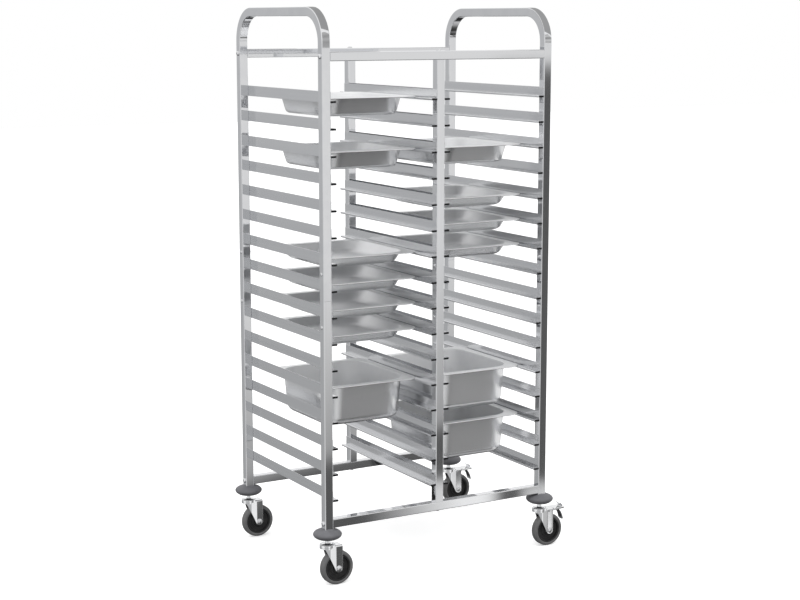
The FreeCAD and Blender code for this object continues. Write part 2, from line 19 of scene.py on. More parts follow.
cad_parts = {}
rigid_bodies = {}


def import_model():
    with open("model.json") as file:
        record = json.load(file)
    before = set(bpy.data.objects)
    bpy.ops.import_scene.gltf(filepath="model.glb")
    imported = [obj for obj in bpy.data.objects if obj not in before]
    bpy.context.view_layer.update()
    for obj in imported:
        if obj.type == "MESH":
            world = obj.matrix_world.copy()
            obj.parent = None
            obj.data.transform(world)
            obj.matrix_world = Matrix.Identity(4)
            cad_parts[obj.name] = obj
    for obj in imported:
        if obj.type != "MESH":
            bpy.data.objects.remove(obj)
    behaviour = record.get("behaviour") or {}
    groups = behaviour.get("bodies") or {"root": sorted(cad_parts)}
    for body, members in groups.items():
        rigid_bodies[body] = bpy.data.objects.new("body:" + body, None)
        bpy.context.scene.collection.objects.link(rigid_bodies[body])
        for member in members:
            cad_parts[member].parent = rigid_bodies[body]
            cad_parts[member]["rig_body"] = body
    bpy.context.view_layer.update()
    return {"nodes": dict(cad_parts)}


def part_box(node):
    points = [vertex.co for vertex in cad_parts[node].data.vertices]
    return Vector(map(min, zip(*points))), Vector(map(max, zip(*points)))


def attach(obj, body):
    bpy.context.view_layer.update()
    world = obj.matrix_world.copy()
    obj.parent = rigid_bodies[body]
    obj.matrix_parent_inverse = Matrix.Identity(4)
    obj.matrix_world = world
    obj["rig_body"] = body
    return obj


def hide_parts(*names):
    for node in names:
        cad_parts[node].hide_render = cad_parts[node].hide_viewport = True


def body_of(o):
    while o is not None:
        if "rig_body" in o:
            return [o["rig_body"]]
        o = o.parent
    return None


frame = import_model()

log = logging.getLogger("tray_trolley")
MM = 0.001
DEGREES = 180.0 / math.pi
Colour = tuple[float, float, float]
Point = tuple[float, float]
Ramp = tuple[float, float, float, float]
Feed = Union[float, Sequence[float], bpy.types.NodeSocket]
WHITE: Colour = (1.0, 1.0, 1.0)
RAIL_NODES = ("rails_left", "rails_mid_left", "rails_mid_right", "rails_right")


def span(node: str) -> tuple[Vector, Vector]:
    """Lowest and highest corner of a CAD node, in millimetres."""
    low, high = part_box(node)
    return low / MM, high / MM


class Grain(Enum):
    """Direction of the drawing or grinding lines, as the share of each axis that the pattern sees."""

    ALONG_X = (0.012, 1.0, 1.0)
    ALONG_Y = (1.0, 0.012, 1.0)
    ALONG_Z = (1.0, 1.0, 0.012)
    NONE = (1.0, 1.0, 1.0)


class Corner(Enum):
    """The four corner posts."""

    FRONT_LEFT = "front_left"
    BACK_LEFT = "back_left"
    FRONT_RIGHT = "front_right"
    BACK_RIGHT = "back_right"

    def foot(self) -> Vector:
        """Middle of the post's lower end, in millimetres."""
        low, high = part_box("lower_leg_" + self.value)
        return Vector(((low.x + high.x) / 2, (low.y + high.y) / 2, low.z)) / MM

    def wheel(self) -> Vector:
        """Middle of the wheel under the post, in millimetres."""
        low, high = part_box("wheel_tyre_" + self.value)
        return (low + high) / 2 / MM

    def side(self) -> float:
        """Sign along X from the middle of the trolley to the post."""
        return 1.0 if "right" in self.value else -1.0

    def braked(self) -> bool:
        """True for the two castors with a brake pedal."""
        return "brake_pedal_" + self.value in frame["nodes"]


class PanKind(Enum):
    """Pan depths with their wall lean and bottom rounding, in millimetres."""

    SHALLOW = (34.0, 22.0, 13.5)
    MEDIUM = (53.0, 17.0, 9.0)
    DEEP = (122.0, 12.0, 21.6)

    @staticmethod
    def nearest(depth: float) -> "PanKind":
        """The kind whose depth is nearest to a measured depth in millimetres."""
        return min(PanKind, key=lambda kind: abs(kind.value[0] - depth))


class NodeSheet:
    """Shorthand for filling one shader node tree."""

    def __init__(self, tree: bpy.types.NodeTree) -> None:
        """Keep the tree to fill."""
        self.tree = tree

    def node(self, kind: str, **settings: object) -> bpy.types.Node:
        """Add a node.

        Args:
            kind: Type of the node.
            settings: Properties to set on it.

        Returns:
            The new node.
        """
        made = self.tree.nodes.new(kind)
        for name, value in settings.items():
            setattr(made, name, value)
        return made

    def feed(self, socket: bpy.types.NodeSocket, value: Feed) -> None:
        """Link an output to a socket, or set the socket's own value.

        Args:
            socket: The input to feed.
            value: An output socket or a plain value.
        """
        if isinstance(value, bpy.types.NodeSocket):
            self.tree.links.new(value, socket)
        else:
            socket.default_value = value

    def maths(self, operation: str, *values: Feed, clamp: bool = False) -> bpy.types.NodeSocket:
        """Add a Math node.

        Args:
            operation: Name of the operation.
            values: Its values, in order.
            clamp: True to keep the result between 0 and 1.

        Returns:
            The result.
        """
        made = self.node("ShaderNodeMath", operation=operation, use_clamp=clamp)
        for socket, value in zip(made.inputs, values):
            self.feed(socket, value)
        return made.outputs[0]

    def product(self, *values: Feed) -> Feed:
        """Multiply values.

        Args:
            values: One or more values.

        Returns:
            Their product, or the value itself where there is only one.
        """
        made, *others = values
        for value in others:
            made = self.maths("MULTIPLY", made, value)
        return made

    def smooth(
        self, value: Feed, start: Feed, end: Feed, low: float = 0.0, high: float = 1.0,
    ) -> bpy.types.NodeSocket:
        """Smooth step of a value.

        Args:
            value: The value to follow.
            start: Where the step begins.
            end: Where the step ends.
            low: Result up to the beginning.
            high: Result from the end on.

        Returns:
            The stepped value.
        """
        made = self.node("ShaderNodeMapRange", interpolation_type="SMOOTHSTEP")
        feeds = {"Value": value, "From Min": start, "From Max": end, "To Min": low, "To Max": high}
        for name, given in feeds.items():
            self.feed(made.inputs[name], given)
        return made.outputs["Result"]

    def noise(
        self, place: Feed, scale: Feed, detail: float = 2.0, roughness: float = 0.5,
    ) -> bpy.types.NodeSocket:
        """Add a noise texture.

        Args:
            place: Where it is read.
            scale: Lumps per metre.
            detail: Number of finer layers.
            roughness: Weight of the finer layers.

        Returns:
            The noise value.
        """
        made = self.node("ShaderNodeTexNoise")
        feeds = {"Vector": place, "Scale": scale, "Detail": detail, "Roughness": roughness}
        for name, given in feeds.items():
            self.feed(made.inputs[name], given)
        return made.outputs[0]

    def blend(self, share: Feed, first: Feed, second: Feed) -> bpy.types.NodeSocket:
        """Mix two colours.

        Args:
            share: Share of the second colour.
            first: The first colour.
            second: The second colour.

        Returns:
            The mixed colour.
        """
        made = self.node("ShaderNodeMix", data_type="RGBA")
        self.feed(made.inputs[0], share)
        for socket, value in ((made.inputs[6], first), (made.inputs[7], second)):
            self.feed(socket, value if isinstance(value, bpy.types.NodeSocket) else (*value, 1.0))
        return made.outputs[2]

    def group(self, tree: bpy.types.NodeTree, **feeds: Feed) -> bpy.types.Node:
        """Place a shared group with its own values.

        Args:
            tree: The group.
            feeds: Values of its inputs, by name.

        Returns:
            The group's node.
        """
        made = self.node("ShaderNodeGroup", node_tree=tree)
        for name, value in feeds.items():
            self.feed(made.inputs[name], value)
        return made

    def relief(self, shader: bpy.types.Node, height: Feed, strength: float, depth: float) -> None:
        """Feed the normal of a shader from a bump.

        Args:
            shader: The shader.
            height: Height of the surface, from 0 to 1.
            strength: Strength of the bump.
            depth: Depth of the bump in metres.
        """
        made = self.node("ShaderNodeBump")
        for name, given in {"Strength": strength, "Distance": depth, "Height": height}.items():
            self.feed(made.inputs[name], given)
        self.feed(shader.inputs["Normal"], made.outputs["Normal"])


def node_material(name: str) -> tuple[bpy.types.Material, NodeSheet, bpy.types.Node]:
    """Start a node material.

    Args:
        name: Name of the material.

    Returns:
        The material, its sheet and its surface shader.
    """
    made = bpy.data.materials.new(name)
    made.use_nodes = True
    return made, NodeSheet(made.node_tree), made.node_tree.nodes["Principled BSDF"]


def effect_group(
    name: str, inputs: Mapping[str, str], outputs: Sequence[str],
) -> tuple[NodeSheet, bpy.types.NodeOutputs, bpy.types.NodeInputs]:
    """Start a shared shader effect.

    Args:
        name: Name of the group.
        inputs: Socket names with their types, Float or Vector.
        outputs: Names of the float outputs.

    Returns:
        The sheet to fill, the values given to the group and the sockets that it puts out.
    """
    tree = bpy.data.node_groups.new(name, "ShaderNodeTree")
    for socket, kind in inputs.items():
        tree.interface.new_socket(socket, in_out="INPUT", socket_type="NodeSocket" + kind)
    for socket in outputs:
        tree.interface.new_socket(socket, in_out="OUTPUT", socket_type="NodeSocketFloat")
    sheet = NodeSheet(tree)
    return sheet, sheet.node("NodeGroupInput").outputs, sheet.node("NodeGroupOutput").inputs


class Effects:
    """Shared surface effects, each built once, with the steps that their masks follow."""

    STREAK_DENSITY = 0.07
    STREAK_STEP = (0.3, 0.7)
    MARK_STEP = (0.42, 0.68)
    EDGE_STEP = (0.995, 0.86)
    PATCH_STEP = (0.3, 0.62)
    DUST_STEP = (0.35, 0.75)

    def __init__(self) -> None:
        """Build the node groups."""
        self.grain = self.grain_lines()
        self.marks = self.hand_marks()
        self.edges = self.edge_rub()
        self.dust = self.floor_dust()

    @staticmethod
    def grain_lines() -> bpy.types.NodeTree:
        """Fine drawn lines and broad streaks along one direction."""
        inputs = {"Place": "Vector", "Density": "Float"}
        sheet, given, made = effect_group("grain_lines", inputs, ["Lines", "Streaks"])
        fine = sheet.noise(given["Place"], given["Density"], detail=3.0, roughness=0.6)
        broad = sheet.noise(given["Place"], sheet.product(given["Density"], Effects.STREAK_DENSITY))
        sheet.feed(made["Lines"], fine)
        sheet.feed(made["Streaks"], sheet.smooth(broad, *Effects.STREAK_STEP))
        return sheet.tree

    @staticmethod
    def hand_marks() -> bpy.types.NodeTree:
        """Cloudy wiping and handling marks."""
        sheet, given, made = effect_group("hand_marks", {"Place": "Vector", "Scale": "Float"}, ["Mask"])
        cloud = sheet.noise(given["Place"], given["Scale"], detail=4.0, roughness=0.62)
        sheet.feed(made["Mask"], sheet.smooth(cloud, *Effects.MARK_STEP))
        return sheet.tree

    @staticmethod
    def edge_rub() -> bpy.types.NodeTree:
        """Edges rubbed bright, broken up by noise."""
        inputs = {"Place": "Vector", "Width": "Float", "Scale": "Float"}
        sheet, given, made = effect_group("edge_rub", inputs, ["Mask"])
        rounded_off = sheet.node("ShaderNodeBevel", samples=4)
        sheet.feed(rounded_off.inputs["Radius"], given["Width"])
        flat = sheet.node("ShaderNodeNewGeometry")
        agreement = sheet.node("ShaderNodeVectorMath", operation="DOT_PRODUCT")
        sheet.feed(agreement.inputs[0], rounded_off.outputs[0])
        sheet.feed(agreement.inputs[1], flat.outputs["Normal"])
        turn = sheet.smooth(agreement.outputs["Value"], *Effects.EDGE_STEP)
        cloud = sheet.noise(given["Place"], given["Scale"], detail=3.0)
        patchy = sheet.smooth(cloud, *Effects.PATCH_STEP)
        sheet.feed(made["Mask"], sheet.product(turn, patchy))
        return sheet.tree

    @staticmethod
    def floor_dust() -> bpy.types.NodeTree:
        """Fine dust that gathers towards the floor."""
        inputs = {"Place": "Vector", "Height": "Float", "Scale": "Float"}
        sheet, given, made = effect_group("floor_dust", inputs, ["Mask"])
        split = sheet.node("ShaderNodeSeparateXYZ")
        sheet.feed(split.inputs[0], given["Place"])
        rise = sheet.maths("DIVIDE", split.outputs["Z"], given["Height"])
        low = sheet.maths("SUBTRACT", 1.0, rise, clamp=True)
        cloud = sheet.noise(given["Place"], given["Scale"], detail=5.0, roughness=0.65)
        sheet.feed(made["Mask"], sheet.product(low, sheet.smooth(cloud, *Effects.DUST_STEP)))
        return sheet.tree


@dataclass(frozen=True)
class SteelFinish:
    """Drawn, polished or satin metal."""

    name: str
    slot: str
    colour: Colour
    streak: Colour
    roughness: float
    spread: float
    grain: Grain
    density: float = 900.0
    bump: float = 0.002
    bump_depth: float = 0.0002
    mark_scale: float = 6.0
    mark_gain: float = 0.03
    rubbed: Colour = (0.93, 0.935, 0.945)
    rub_width: float = 0.0012
    rub_scale: float = 140.0
    rub_gain: float = 0.5
    smoothest: float = 0.02
    metallic: float = 1.0
    satin: float = 0.0
    satin_from: float = 0.02
    satin_to: float = 0.12

    def material(self, effects: Effects) -> bpy.types.Material:
        """Build the finish.

        Args:
            effects: The shared effects.

        Returns:
            The finished material.
        """
        made, sheet, shader = node_material(self.name)
        place = sheet.node("ShaderNodeTexCoord").outputs["Object"]
        mapping = sheet.node("ShaderNodeMapping")
        sheet.feed(mapping.inputs["Vector"], place)
        sheet.feed(mapping.inputs["Scale"], self.grain.value)
        lines = sheet.group(effects.grain, Place=mapping.outputs[0], Density=self.density)
        marks = sheet.group(effects.marks, Place=place, Scale=self.mark_scale)
        rub = sheet.group(effects.edges, Place=place, Width=self.rub_width, Scale=self.rub_scale)
        tone = sheet.blend(lines.outputs["Streaks"], self.colour, self.streak)
        bright = sheet.product(rub.outputs["Mask"], self.rub_gain)
        sheet.feed(shader.inputs["Base Color"], sheet.blend(bright, tone, self.rubbed))
        least = self.roughness - self.spread / 2
        rough = sheet.maths("MULTIPLY_ADD", lines.outputs["Lines"], self.spread, least)
        rough = sheet.maths("MULTIPLY_ADD", marks.outputs["Mask"], self.mark_gain, rough)
        if self.satin:
            facing = sheet.node("ShaderNodeSeparateXYZ")
            sheet.feed(facing.inputs[0], sheet.node("ShaderNodeNewGeometry").outputs["Normal"])
            upward = sheet.smooth(facing.outputs["Z"], self.satin_from, self.satin_to)
            rough = sheet.maths("MULTIPLY_ADD", upward, self.satin, rough)
        sheet.feed(shader.inputs["Roughness"], sheet.maths("MAXIMUM", rough, self.smoothest))
        sheet.relief(shader, lines.outputs["Lines"], self.bump, self.bump_depth)
        shader.inputs["Metallic"].default_value = self.metallic
        return made


@dataclass(frozen=True)
class MouldedFinish:
    """Moulded plastic or rubber with a fine skin."""

    name: str
    slot: str
    colour: Colour
    mottle: Colour
    rubbed: Colour
    roughness: float
    skin_scale: float
    bump: float
    bump_depth: float = 0.0003
    mark_scale: float = 45.0
    mark_rough: float = 0.12
    rub_width: float = 0.0015
    rub_scale: float = 220.0
    rub_gain: float = 0.6
    dust: Colour = (0.36, 0.35, 0.33)
    dust_height: float = 0.16
    dust_scale: float = 60.0
    dust_gain: float = 0.3
    dust_rough: float = 0.3
    specular: float = 0.4

    def material(self, effects: Effects) -> bpy.types.Material:
        """Build the finish.

        Args:
            effects: The shared effects.

        Returns:
            The finished material.
        """
        made, sheet, shader = node_material(self.name)
        place = sheet.node("ShaderNodeTexCoord").outputs["Object"]
        marks = sheet.group(effects.marks, Place=place, Scale=self.mark_scale)
        rub = sheet.group(effects.edges, Place=place, Width=self.rub_width, Scale=self.rub_scale)
        dust = sheet.group(effects.dust, Place=place, Height=self.dust_height, Scale=self.dust_scale)
        tone = sheet.blend(marks.outputs["Mask"], self.colour, self.mottle)
        tone = sheet.blend(sheet.product(rub.outputs["Mask"], self.rub_gain), tone, self.rubbed)
        dusty = sheet.product(dust.outputs["Mask"], self.dust_gain)
        sheet.feed(shader.inputs["Base Color"], sheet.blend(dusty, tone, self.dust))
        rough = sheet.maths("MULTIPLY_ADD", marks.outputs["Mask"], self.mark_rough, self.roughness)
        rough = sheet.maths("MULTIPLY_ADD", dusty, self.dust_rough, rough, clamp=True)
        sheet.feed(shader.inputs["Roughness"], rough)
        skin = sheet.noise(place, self.skin_scale, detail=3.0, roughness=0.6)
        sheet.relief(shader, skin, self.bump, self.bump_depth)
        shader.inputs["Specular IOR Level"].default_value = self.specular
        return made


Finish = Union[SteelFinish, MouldedFinish]
UPRIGHT_STEEL = SteelFinish(
    "upright_tube_steel", "tube_steel", (0.82, 0.825, 0.835), (0.79, 0.795, 0.81), 0.035, 0.015,
    Grain.ALONG_Z, mark_gain=0.012,
)
HOOP_STEEL = replace(UPRIGHT_STEEL, name="bent_tube_steel", grain=Grain.NONE, density=420.0)
CROSSBAR_STEEL = replace(UPRIGHT_STEEL, name="crossbar_steel", grain=Grain.ALONG_X)
RAIL_STEEL = SteelFinish(
    "rail_steel", "rail_steel", (0.79, 0.795, 0.805), (0.755, 0.76, 0.775), 0.15, 0.05, Grain.ALONG_Y,
)
PAN_STEEL = SteelFinish(
    "pan_steel", "pan_steel", (0.88, 0.885, 0.89), (0.86, 0.865, 0.875), 0.26, 0.01, Grain.ALONG_X,
    density=500.0, bump=0.0003, mark_scale=5.0, mark_gain=0.01, metallic=0.8, satin=0.2,
)
INNER_STEEL = SteelFinish(
    "inner_steel", "inner_steel", (0.5, 0.5, 0.51), (0.42, 0.42, 0.43), 0.4, 0.1, Grain.NONE,
)
BOLT_STEEL = SteelFinish(
    "bolt_steel", "bolt_steel", (0.83, 0.83, 0.84), (0.76, 0.765, 0.775), 0.18, 0.06, Grain.NONE,
    density=1500.0,
)
ZINC = SteelFinish(
    "zinc_plated_steel", "zinc_steel", (0.86, 0.865, 0.87), (0.83, 0.835, 0.845), 0.05, 0.02, Grain.NONE,
    density=700.0, bump=0.001, mark_scale=25.0, mark_gain=0.02,
)
BUMPER_PLASTIC = MouldedFinish(
    "bumper_plastic", "bumper_plastic", (0.125, 0.125, 0.135), (0.145, 0.145, 0.155), (0.2, 0.2, 0.21),
    roughness=0.5, skin_scale=1400.0, bump=0.25,
)
# Near-black plastic for the hem plugs: painted shade that stands in for the dark inside of the rails' open
# hem ends.
HEM_SHADE_BLACK = MouldedFinish(
    "hem_shade_black", "wheel_plastic", (0.012, 0.012, 0.013), (0.018, 0.018, 0.019), (0.03, 0.03, 0.03),
    roughness=0.6, skin_scale=1100.0, bump=0.2, dust_gain=0.0, specular=0.2,
)
WHEEL_PLASTIC = MouldedFinish(
    "wheel_plastic", "wheel_plastic", (0.009, 0.009, 0.0095), (0.014, 0.014, 0.015), (0.07, 0.07, 0.075),
    roughness=0.4, skin_scale=1100.0, bump=0.2, dust_gain=0.06,
)
TYRE_RUBBER = MouldedFinish(
    "tyre_rubber", "tyre_rubber", (0.125, 0.125, 0.127), (0.15, 0.15, 0.152), (0.19, 0.19, 0.19),
    roughness=0.55, skin_scale=900.0, bump=0.35, dust_height=1.0, dust_gain=0.15,
)


def placed(name: str, bm: BMesh, material: bpy.types.Material) -> bpy.types.Object:
    """Put a mesh into the scene as an object at the origin.

    Args:
        name: Name of the object and its mesh.
        bm: The mesh, in metres; it is freed.
        material: Its only material.

    Returns:
        The new object.
    """
    mesh = bpy.data.meshes.new(name)
    bm.to_mesh(mesh)
    bm.free()
    mesh.materials.append(material)
    made = bpy.data.objects.new(name, mesh)
    bpy.context.scene.collection.objects.link(made)
    return made


class Workshop:
    """Makes finishes once and turns meshes into pieces."""

    FLAT_WEIGHT = 90

    def __init__(self) -> None:
        """Start with the shared effects and no finishes."""
        self.effects = Effects()
        self.made: dict[str, bpy.types.Material] = {}

    def material(self, finish: Finish) -> bpy.types.Material:
        """The material of a finish, built at its first use.

        Args:
            finish: The finish.

        Returns:
            Its material.
        """
        if finish.name not in self.made:
            self.made[finish.name] = finish.material(self.effects)
        return self.made[finish.name]

    def piece(
        self, name: str, bm: BMesh, finish: Finish, nodes: Sequence[str], sharp: float = 38.0,
        body: str = "",
    ) -> bpy.types.Object:
        """Turn a mesh in millimetres into a piece that stands for CAD nodes and rides where they ride.

        Args:
            name: Name of the piece.
            bm: The mesh, in millimetres in the trolley's frame; it is freed.
            finish: The finish of the piece.
            nodes: The CAD nodes that the piece replaces.
            sharp: Edges that turn by more than this many degrees stay sharp.
            body: The body that the piece rides on, where it replaces no node.

        Returns:
            The finished object.
        """
        bmesh.ops.scale(bm, vec=(MM, MM, MM), verts=bm.verts[:])
        made = placed(name, bm, self.material(finish))
        made.data.shade_smooth()
        made.data.set_sharp_from_angle(angle=math.radians(sharp))
        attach(made, body or body_of(frame["nodes"][nodes[0]])[0])
        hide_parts(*nodes)
        log.info("%s: %d faces", name, len(made.data.polygons))
        return made

    def even(self, made: bpy.types.Object) -> None:
        """Keep the flats of a piece flat beside their rounded edges.

        Args:
            made: The piece.
        """
        normals = made.modifiers.new("flats", "WEIGHTED_NORMAL")
        normals.keep_sharp = True
        normals.weight = self.FLAT_WEIGHT

    def dress(self, node: str, finish: Finish) -> None:
        """Give a carried-over CAD node its finish.

        Args:
            node: The CAD node.
            finish: Its finish.
        """
        shown = frame["nodes"][node]
        shown.data.materials.clear()
        shown.data.materials.append(self.material(finish))
        log.info("%s: carried over, %s", node, finish.name)


def faced_out(bm: BMesh) -> None:
    """Turn every face of a mesh to the outside."""
    bmesh.ops.recalc_face_normals(bm, faces=bm.faces[:])


def shifted(bm: BMesh, way: Sequence[float]) -> None:
    """Move a whole mesh."""
    bmesh.ops.translate(bm, vec=way, verts=bm.verts[:])


def quarter_turned(bm: BMesh, axis: str) -> None:
    """Turn a whole mesh by 90 degrees about an axis through the origin."""
    turn = Matrix.Rotation(math.radians(90.0), 3, axis)
    bmesh.ops.rotate(bm, cent=(0, 0, 0), matrix=turn, verts=bm.verts[:])


def cut(bm: BMesh, place: Sequence[float], normal: Sequence[float], clear: bool = False) -> None:
    """Cut a mesh along a plane.

    Args:
        bm: The mesh.
        place: A point of the plane.
        normal: The plane's direction.
        clear: True to remove what lies ahead of the plane.
    """
    everything = bm.verts[:] + bm.edges[:] + bm.faces[:]
    bmesh.ops.bisect_plane(
        bm, geom=everything, plane_co=place, plane_no=normal, clear_outer=clear, dist=1e-4,
    )


def rounded(bm: BMesh, corners: Iterable[BMVert], radius: float, segments: int) -> None:
    """Round the given corners of a flat face.

    Args:
        bm: The mesh.
        corners: The corners.
        radius: Radius of the rounding.
        segments: Steps of the rounding.
    """
    bmesh.ops.bevel(
        bm, geom=list(corners), offset=radius, offset_type="OFFSET", segments=segments, profile=0.5,
        affect="VERTICES", material=-1,
    )


def softened(bm: BMesh, edges: Iterable[BMEdge], radius: float, segments: int = 2) -> None:
    """Round the given edges of a solid or sheet.

    Args:
        bm: The mesh.
        edges: The edges.
        radius: Radius of the rounding.
        segments: Steps of the rounding.
    """
    bmesh.ops.bevel(
        bm, geom=list(edges), offset=radius, offset_type="OFFSET", segments=segments, profile=0.5,
        affect="EDGES", material=-1,
    )


def edges_where(bm: BMesh, test: Callable[[BMVert], bool]) -> list[BMEdge]:
    """Edges whose two ends both pass a test."""
    return [edge for edge in bm.edges if all(test(vert) for vert in edge.verts)]


def sharp_edges(bm: BMesh, angle: float) -> list[BMEdge]:
    """Edges between two faces that turn by more than an angle in degrees."""
    limit = math.radians(angle)
    return [edge for edge in bm.edges if len(edge.link_faces) == 2 and edge.calc_face_angle() > limit]


def section(bm: BMesh, width: float, depth: float, corner: float, segments: int) -> BMFace:
    """Start an empty mesh with a rounded rectangle in the XY plane, centred on the origin.

    Args:
        bm: The mesh.
        width: Size along X.
        depth: Size along Y.
        corner: Radius of the corners.
        segments: Steps of each corner.

    Returns:
        The rectangle's face.
    """
    bmesh.ops.create_grid(bm, x_segments=1, y_segments=1, size=0.5)
    bmesh.ops.scale(bm, vec=(width, depth, 1.0), verts=bm.verts[:])
    rounded(bm, bm.verts[:], corner, segments)
    bm.faces.ensure_lookup_table()
    return bm.faces[0]


def drawn(bm: BMesh, face: BMFace, way: Sequence[float]) -> BMFace:
    """Extrude a face.

    Args:
        bm: The mesh.
        face: The face to extrude.
        way: How far it moves.

    Returns:
        The new end face.
    """
    made = bmesh.ops.extrude_face_region(bm, geom=[face])["geom"]
    bmesh.ops.translate(bm, vec=way, verts=[part for part in made if isinstance(part, BMVert)])
    return next(part for part in made if isinstance(part, BMFace))


def bent(
    bm: BMesh, face: BMFace, centre: Sequence[float], axis: Sequence[float], degrees: float, steps: int,
) -> BMFace:
    """Sweep a face about an axis.

    Args:
        bm: The mesh.
        face: The face to sweep.
        centre: A point of the axis.
        axis: The axis's direction.
        degrees: Angle of the sweep.
        steps: Steps of the sweep.

    Returns:
        The new end face.
    """
    made = bmesh.ops.spin(
        bm, geom=[face], cent=centre, axis=axis, angle=math.radians(degrees), steps=steps,
        use_duplicate=False,
    )["geom_last"]
    return next(part for part in made if isinstance(part, BMFace))


def turned(points: Sequence[Point], rounds: Mapping[int, float], steps: int, segments: int = 4) -> BMesh:
    """Solid turned about the Z axis.

    Args:
        points: Radius and height of the profile's corners, in order.
        rounds: Rounding radius of the corners that are rounded, by index.
        steps: Steps of the full turn.
        segments: Steps of each rounding.

    Returns:
        The mesh, in millimetres about the Z axis.
    """
    bm = bmesh.new()
    corners = [bm.verts.new((radius, 0.0, height)) for radius, height in points]
    bm.faces.new(corners)
    for index, radius in rounds.items():
        rounded(bm, [corners[index]], radius, segments)
    bmesh.ops.delete(bm, geom=bm.faces[:], context="FACES_ONLY")
    bmesh.ops.delete(bm, geom=edges_where(bm, lambda vert: abs(vert.co.x) < 1e-6), context="EDGES")
    bmesh.ops.spin(
        bm, geom=bm.verts[:] + bm.edges[:], cent=(0, 0, 0), axis=(0, 0, 1), angle=math.tau, steps=steps,
        use_merge=True, use_duplicate=False,
    )
    bmesh.ops.remove_doubles(bm, verts=bm.verts[:], dist=1e-4)
    faced_out(bm)
    return bm


def hexagon(width: float, height: float, chamfer: float) -> BMesh:
    """Hexagon nut or bolt head standing on z = 0.

    Args:
        width: Size across the flats.
        height: Height along Z.
        chamfer: Rounding of the two rims.

    Returns:
        The mesh.
    """
    bm = bmesh.new()
    bmesh.ops.create_circle(bm, cap_ends=True, segments=6, radius=width / math.sqrt(3.0))
    bm.faces.ensure_lookup_table()
    drawn(bm, bm.faces[0], (0.0, 0.0, height))
    faced_out(bm)
    rims = [edge for edge in bm.edges if abs(edge.verts[0].co.z - edge.verts[1].co.z) < 1e-6]
    softened(bm, rims, chamfer)
    return bm


def joined(parts: Iterable[tuple[BMesh, Matrix]]) -> BMesh:
    """One mesh from several.

    Args:
        parts: Meshes with the matrix that moves each to its place; the meshes are freed.

    Returns:
        The joined mesh.
    """
    whole = bmesh.new()
    for part, place in parts:
        bmesh.ops.transform(part, matrix=place, verts=part.verts[:])
        loose = bpy.data.meshes.new("part")
        part.to_mesh(loose)
        part.free()
        whole.from_mesh(loose)
        bpy.data.meshes.remove(loose)
    return whole


def at(place: Sequence[float], towards: Sequence[float] = (0.0, 0.0, 1.0)) -> Matrix:
    """Matrix that turns the Z axis to a direction and moves the origin to a place."""
    turn = Vector((0.0, 0.0, 1.0)).rotation_difference(Vector(towards)).to_matrix().to_4x4()
    return Matrix.Translation(Vector(place)) @ turn


@dataclass
class EndFrames:
    """Upper end frames: one tube each, bent into two posts and a push handle."""

    bend: float = 84.5
    corner: float = 2.0
    corner_segments: int = 5
    bend_steps: int = 24
    seam_edge: float = 0.5

    def build(self, side: str) -> BMesh:
        """Mesh of one end frame.

        Args:
            side: Left or right.

        Returns:
            The bent tube.
        """
        low, high = span("upper_hoop_" + side)
        tube = high.x - low.x
        bm = bmesh.new()
        face = section(bm, tube, tube, self.corner, self.corner_segments)
        start = Vector(((low.x + high.x) / 2, low.y + tube / 2, low.z))
        shifted(bm, start)
        bend_z = high.z - tube / 2 - self.bend
        face = drawn(bm, face, (0.0, 0.0, bend_z - low.z))
        face = bent(bm, face, (start.x, start.y + self.bend, bend_z), (1, 0, 0), -90.0, self.bend_steps)
        back = high.y - tube / 2 - self.bend
        face = drawn(bm, face, (0.0, back - start.y - self.bend, 0.0))
        face = bent(bm, face, (start.x, back, bend_z), (1, 0, 0), -90.0, self.bend_steps)
        drawn(bm, face, (0.0, 0.0, low.z - bend_z))
        faced_out(bm)
        softened(bm, edges_where(bm, lambda vert: abs(vert.co.z - low.z) < 0.01), self.seam_edge)
        return bm

    def dress(self, shop: Workshop) -> None:
        """Build and finish both end frames.

        Args:
            shop: The workshop.
        """
        for side in ("left", "right"):
            tube = self.build(side)
            shop.even(shop.piece("end_frame_" + side, tube, HOOP_STEEL, ["upper_hoop_" + side], sharp=30.0))


@dataclass
class FrameBars:
    """Straight tubes, carried over from the solids, and the tray rails with their broken edges."""

    rail_edge: float = 0.25
    merge: float = 0.01
    flat_angle: float = 1.0
    edge_angle: float = 50.0

    def rails(self, node: str) -> BMesh:
        """Copy of the rails of one node, merged from its triangles, with rounded edges.

        Args:
            node: The CAD node.

        Returns:
            The rails.
        """
        bm = bmesh.new()
        bm.from_mesh(frame["nodes"][node].data)
        bmesh.ops.scale(bm, vec=(1.0 / MM, 1.0 / MM, 1.0 / MM), verts=bm.verts[:])
        bmesh.ops.remove_doubles(bm, verts=bm.verts[:], dist=self.merge)
        flat = math.radians(self.flat_angle)
        bmesh.ops.dissolve_limit(bm, angle_limit=flat, verts=bm.verts[:], edges=bm.edges[:])
        softened(bm, sharp_edges(bm, self.edge_angle), self.rail_edge)
        return bm

    def dress(self, shop: Workshop) -> None:
        """Finish the frame's tubes, rails and hidden pieces.

        Args:
            shop: The workshop.
        """
        for corner in Corner:
            shop.dress("lower_leg_" + corner.value, UPRIGHT_STEEL)
        for node in ("mid_posts_upper", "mid_posts_lower"):
            shop.dress(node, UPRIGHT_STEEL)
        for level in ("top", "bottom"):
            for side in ("front", "back"):
                shop.dress(f"{level}_crossbar_{side}", CROSSBAR_STEEL)
        for node in RAIL_NODES:
            shop.even(shop.piece("tray_" + node, self.rails(node), RAIL_STEEL, [node]))
        for node in ("post_sleeves", "bar_end_plugs", "foot_plugs"):
            shop.dress(node, INNER_STEEL)


